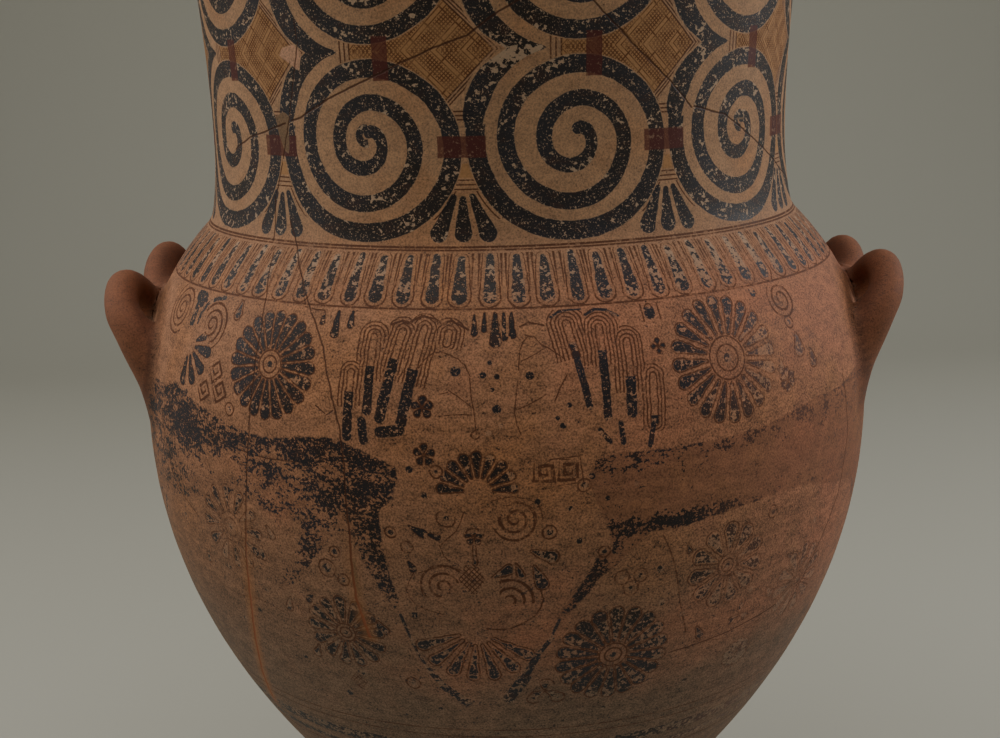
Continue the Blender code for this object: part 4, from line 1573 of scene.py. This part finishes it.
def build_painted_clay(material):
    tree, place, x, y, z = start_clay(material)
    turn, rise, radius = x.angle(-y) * (180 / math.pi), (z - NECK_Z) * 1000, distance(x, y) * 1000
    shake = noise(tree, place, 170, 170, 3, 0.6, "Color")
    shake = new_node(tree, "ShaderNodeSeparateColor", i0=shake).outputs
    wobble, drift = (Wire(tree, shake[0]) - 0.5) * 2.4, (Wire(tree, shake[1]) - 0.5) * 3.0
    worn, bare, horse, filled, pocket_shade = (
        read(tree, name) for name in ("worn", "bare", "horse", "filled", "pocket_shade")
    )
    grain = use_group(tree, clay_grain, Place=place, Streaks=rise.ramp(0, -200, 0.5, 1.1), Pits=1.3)
    tone, redness, mottle = grain["Tone"], grain["Redness"], grain["Mottle"]

    stamp_numbers = {
        name.title(): read(tree, f"ornament {name}", "Vector") for name in ("place", "form", "kind")
    }
    stamped = use_group(tree, ornaments, Wobble=wobble, **stamp_numbers)
    neck = use_group(tree, neck_scrolls, Turn=turn, Rise=rise, Wobble=wobble * 0.5)
    band = use_group(tree, bands, Turn=turn, Rise=rise, Radius=radius, Wobble=wobble)
    aside, beyond, half = split(tree, read(tree, "stroke", "Vector"))
    stroke = distance(aside, (beyond - 1.6).most(0)) - half + wobble * 0.25
    thick = half.above(0.7)

    on_neck = rise.ramp(0.3, 0.8) * rise.ramp(NECK_PAINT_TOP + 1, NECK_PAINT_TOP)
    on_body = rise.ramp(FRIEZE_TOP, FRIEZE_TOP - 1)
    off_neck, off_body = (1 - on_neck) * AWAY, (1 - on_body) * AWAY
    dark_lines = nearest_of(
        neck["Dark"] + off_neck, band["Dark"] + on_neck * AWAY, stamped["Dark"] + off_body,
        stroke + (1 - thick) * AWAY + off_body,
    )
    brown_lines = nearest_of(
        neck["Brown"] + off_neck, band["Brown"], stamped["Brown"] + off_body,
        stroke + thick * AWAY + off_body,
    )
    red, ochre, net = (neck[name] + off_neck for name in ("Red", "Ochre", "Net"))

    mend = (filled + wobble * 0.5 + drift * 0.3).ramp(0.3, -0.3)
    painted = (1 - mend) * (1 - bare)
    whole = 1 - grain["Speck"] * 0.9
    slip_left = use_group(tree, old_slip, Place=place, Worn=worn, Islands=0.42, Fineness=0.62)
    kept = slip_left["Kept"] * whole
    stray = rise.ramp(-70, -190, 0.97, 0.84) - turn.ramp(28, 45, 0, 0.05)
    ground = use_group(
        tree, old_slip, Place=place, Worn=worn + 0.19, Islands=0.52, Fineness=0.9, Stray=stray,
    )
    dark_mask = dark_lines.ink() * painted
    horse_mask = (horse + wobble * 1.5).ink(0.5) * on_body * painted
    crumbs = ground["Crumbs"] * on_body * painted * 0.8
    dark = (dark_mask * kept).most(horse_mask * (ground["Kept"] * whole)).most(crumbs)
    lines = brown_lines.ink(0.2) * painted * (kept * 0.45 + 0.66 - worn * 0.6)
    wash = ochre.ink(0.3) * painted
    hatch = net.ink(0.2) * painted * (kept * 0.35 + mottle.ramp(0.40, 0.56) * 0.45 + 0.18)
    red_mask = red.ink() * painted * (kept * 0.22 + 0.70)

    aside, beyond, half = split(tree, read(tree, "crack", "Vector"))
    fresh = rise.ramp(-140, -215) * turn.ramp(0, -15)
    sway = (mottle - 0.5) * 2.0
    crack = distance(aside + sway, (beyond - 1.5).most(0)) - half * (fresh * 1.2 + 1.4)
    crack_mask = crack.ramp(0.25, -0.25)

    # Greyer, darker clay low on the belly, most at the front: partly the clay's own tone, partly
    # painted shade for the dimmer light there.
    low = (rise + drift * 8).ramp(-120, -270) * abs(turn).ramp(60, 110, 1.0, 0.45)
    warm = redness.ramp(0.50, 0.34) * rise.ramp(-240, -120)
    not_behind = abs(turn).ramp(170, 110)
    blush = (redness + turn.ramp(-30, 60, -0.16, 0.16) * not_behind).ramp(0.42, 0.66)
    blush = blush * rise.ramp(0, -40) * rise.ramp(-320, -200)
    # One of these layers is painted shade: the dark brown where coil and wall shelter each other.
    clay = layered(
        tree, NECK_BUFF, (rise.ramp(18, -22), BODY_CLAY), (low, LOW_CLAY_AND_SHADE),
        (warm * 0.35, ORANGE_CLAY), (blush * 0.55, RED_CLAY), (bare, HANDLE_CLAY),
        (pocket_shade * 0.62, POCKET_SHADE_COLOUR), (mend * 0.9, layered(tree, MORTAR, (rise.ramp(86, 92), PLASTER))),
    )
    bright = (tone - 0.5) * rise.ramp(10, -40, 0.36, 0.62) * (1 - bare * 0.4) + 1
    fade = (turn + drift * 3).ramp(24, 42) * rise.ramp(-36, -60) * not_behind
    slip = layered(
        tree, DARK_SLIP, (redness.ramp(0.42, 0.60) * 0.85, BLUE_SLIP),
        (mottle.ramp(0.52, 0.68) * 0.6, BROWN_SLIP), (fade * 0.75, FADED_SLIP),
    )
    clay = layered(
        tree, scaled(tree, clay, bright),
        (dark_mask * rise.ramp(-30, 0, 0.14, 0.6), GHOST),
        (horse_mask * turn.ramp(-15, 10, 0.12, 0.40), HORSE_GHOST),
        (wash * 0.6, OCHRE), (hatch, NET_LINE), (lines, BROWN_LINE), (dark * 0.96, slip),
        (red_mask * 0.9, DEEP_RED), (crack.ramp(6.0, 0.5) * fresh * 0.4, ORANGE_CLAY),
        (crack_mask * 0.85, layered(tree, CRACK, (fresh, FRESH_BREAK))),
    )
    rough = 0.74 - dark * 0.20 + (tone - 0.5) * 0.16 + mend * 0.10
    finish_clay(tree, clay, rough, grain["Height"] - crack_mask * 0.35, 0.32)


build_painted_clay(painted_clay)

# %% [markdown]
# ## The bare clay inside
#
# Nobody painted the inside, so it keeps the plain colour of the clay, with stronger throwing
# ridges, and it grows darker towards the floor. It uses the same grain group with its own values.

# %% Bare clay


def build_bare_clay(material):
    tree, place, x, y, z = start_clay(material)
    grain = use_group(tree, clay_grain, Place=place, Streaks=1.6, Pits=1.4)
    tone = grain["Tone"]
    # The inside grows darker towards its floor.
    darker_below = (z + (tone - 0.5) * 0.1).ramp(0.42, 0.20) * 0.8
    clay = scaled(tree, layered(tree, INSIDE_CLAY, (darker_below, LOW_INSIDE_CLAY)), tone.ramp(0.0, 1.0, 0.6, 1.4))
    ridges = (z * 420).sine() * 0.10
    finish_clay(tree, clay, 0.84 + (tone - 0.5) * 0.14, grain["Height"] * 1.4 + ridges, 0.3)


build_bare_clay(bare_clay)

# %% [markdown]
# ## Placing the jar
#
# The jar is one fired piece, so it is one object. It rides on the model's only body and stands
# for the plain solid, which stays in the physics model for contact.

# %% The piece
jar.data.name = "jar"
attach(jar, "root")
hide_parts("amphora")
print("the jar spans", [round(v, 4) for v in jar.dimensions])

# %% [markdown]
# ## Floor
#
# The jar stands on a plain pale sheet that curves up behind it, as in a photographer's studio,
# so that there is no horizon line and nothing to look at but the jar.

# %% Floor
HALF_WIDTH, FRONT, BEND_START, BEND_RADIUS, SHEET_TOP = 5.0, -4.0, 2.2, 0.9, 4.5


def studio_sweep():
    """A floor that runs back and bends up into a wall."""
    path = [(FRONT, 0.0), (BEND_START, 0.0)]
    for a in np.linspace(0, math.pi / 2, 13)[1:]:
        path.append((BEND_START + BEND_RADIUS * math.sin(a), BEND_RADIUS * (1 - math.cos(a))))
    path.append((BEND_START + BEND_RADIUS, SHEET_TOP))
    shape = bmesh.new()
    rows = [[shape.verts.new((x, y, z)) for x in (-HALF_WIDTH, HALF_WIDTH)] for y, z in path]
    for (a, b), (c, d) in zip(rows, rows[1:]):
        shape.faces.new((a, b, d, c))
    mesh = bpy.data.meshes.new("floor")
    shape.to_mesh(mesh)
    shape.free()
    mesh.shade_smooth()
    return linked("floor", mesh)


floor = studio_sweep()
sheet = bpy.data.materials.new("pale sheet")
sheet.use_nodes = True
sheet_inputs = sheet.node_tree.nodes["Principled BSDF"].inputs
sheet_inputs["Base Color"].default_value = colour(188, 186, 172)
sheet_inputs["Roughness"].default_value = 0.9
floor.data.materials.append(sheet)
print("the floor sheet has", len(floor.data.polygons), "faces")

# %% [markdown]
# ## Lights
#
# One large soft light hangs above, two weaker ones stand to the left and the right, a little
# behind the jar, and the grey world lifts the shadows. They stand where the light in the
# photograph seems to come from: the sides of the jar are the brightest, and its front is dim.

# %% Lights


def soft_light(name, place, aim, size, watts, tint):
    lamp = bpy.data.lights.new(name, "AREA")
    lamp.shape, lamp.size, lamp.energy, lamp.color = "DISK", size, watts, tint
    made = linked(name, lamp)
    made.location = place
    made.rotation_euler = (Vector(aim) - Vector(place)).to_track_quat("-Z", "Y").to_euler()
    print("the light", name, "has", watts, "watts")


soft_light("above", (-0.2, -0.35, 3.0), (0, 0, 0.5), 2.2, 35, (1.0, 0.97, 0.92))
soft_light("left", (-2.3, 0.3, 1.7), (0, 0, 0.6), 1.8, 17.5, (1.0, 0.97, 0.93))
soft_light("right", (2.5, 0.45, 1.5), (0, 0, 0.5), 1.8, 25, (0.97, 0.98, 1.0))
world = bpy.data.worlds.new("studio")
world.use_nodes = True
background = world.node_tree.nodes["Background"].inputs
background["Color"].default_value = (0.86, 0.90, 0.92, 1)
background["Strength"].default_value = 0.11
bpy.context.scene.world = world

# %% [markdown]
# ## Camera
#
# The camera stands close, at the height of the neck's middle, and looks a little down, which is
# how the photograph shows the jar. Its place, its lens and its small roll were found by fitting
# the jar's outline to the photograph's.

# %% Camera
CAMERA_PLACE = Vector((-0.004, -1.046, NECK_Z + 0.123))
PITCH, ROLL = math.radians(12.95), math.radians(1.57)

ahead = Vector((0, math.cos(PITCH), -math.sin(PITCH)))
plain_up, plain_right = Vector((0, math.sin(PITCH), math.cos(PITCH))), Vector((1, 0, 0))
right = plain_right * math.cos(ROLL) - plain_up * math.sin(ROLL)
up = plain_right * math.sin(ROLL) + plain_up * math.cos(ROLL)
view = bpy.data.cameras.new("camera")
view.lens, view.sensor_width, view.clip_start = 54.0, 36.0, 0.05
camera = linked("camera", view)
looks = Matrix((right, up, -ahead)).transposed().to_4x4()
camera.matrix_world = Matrix.Translation(CAMERA_PLACE) @ looks
bpy.context.scene.camera = camera
print("the camera looks down by", round(math.degrees(PITCH), 2), "degrees")
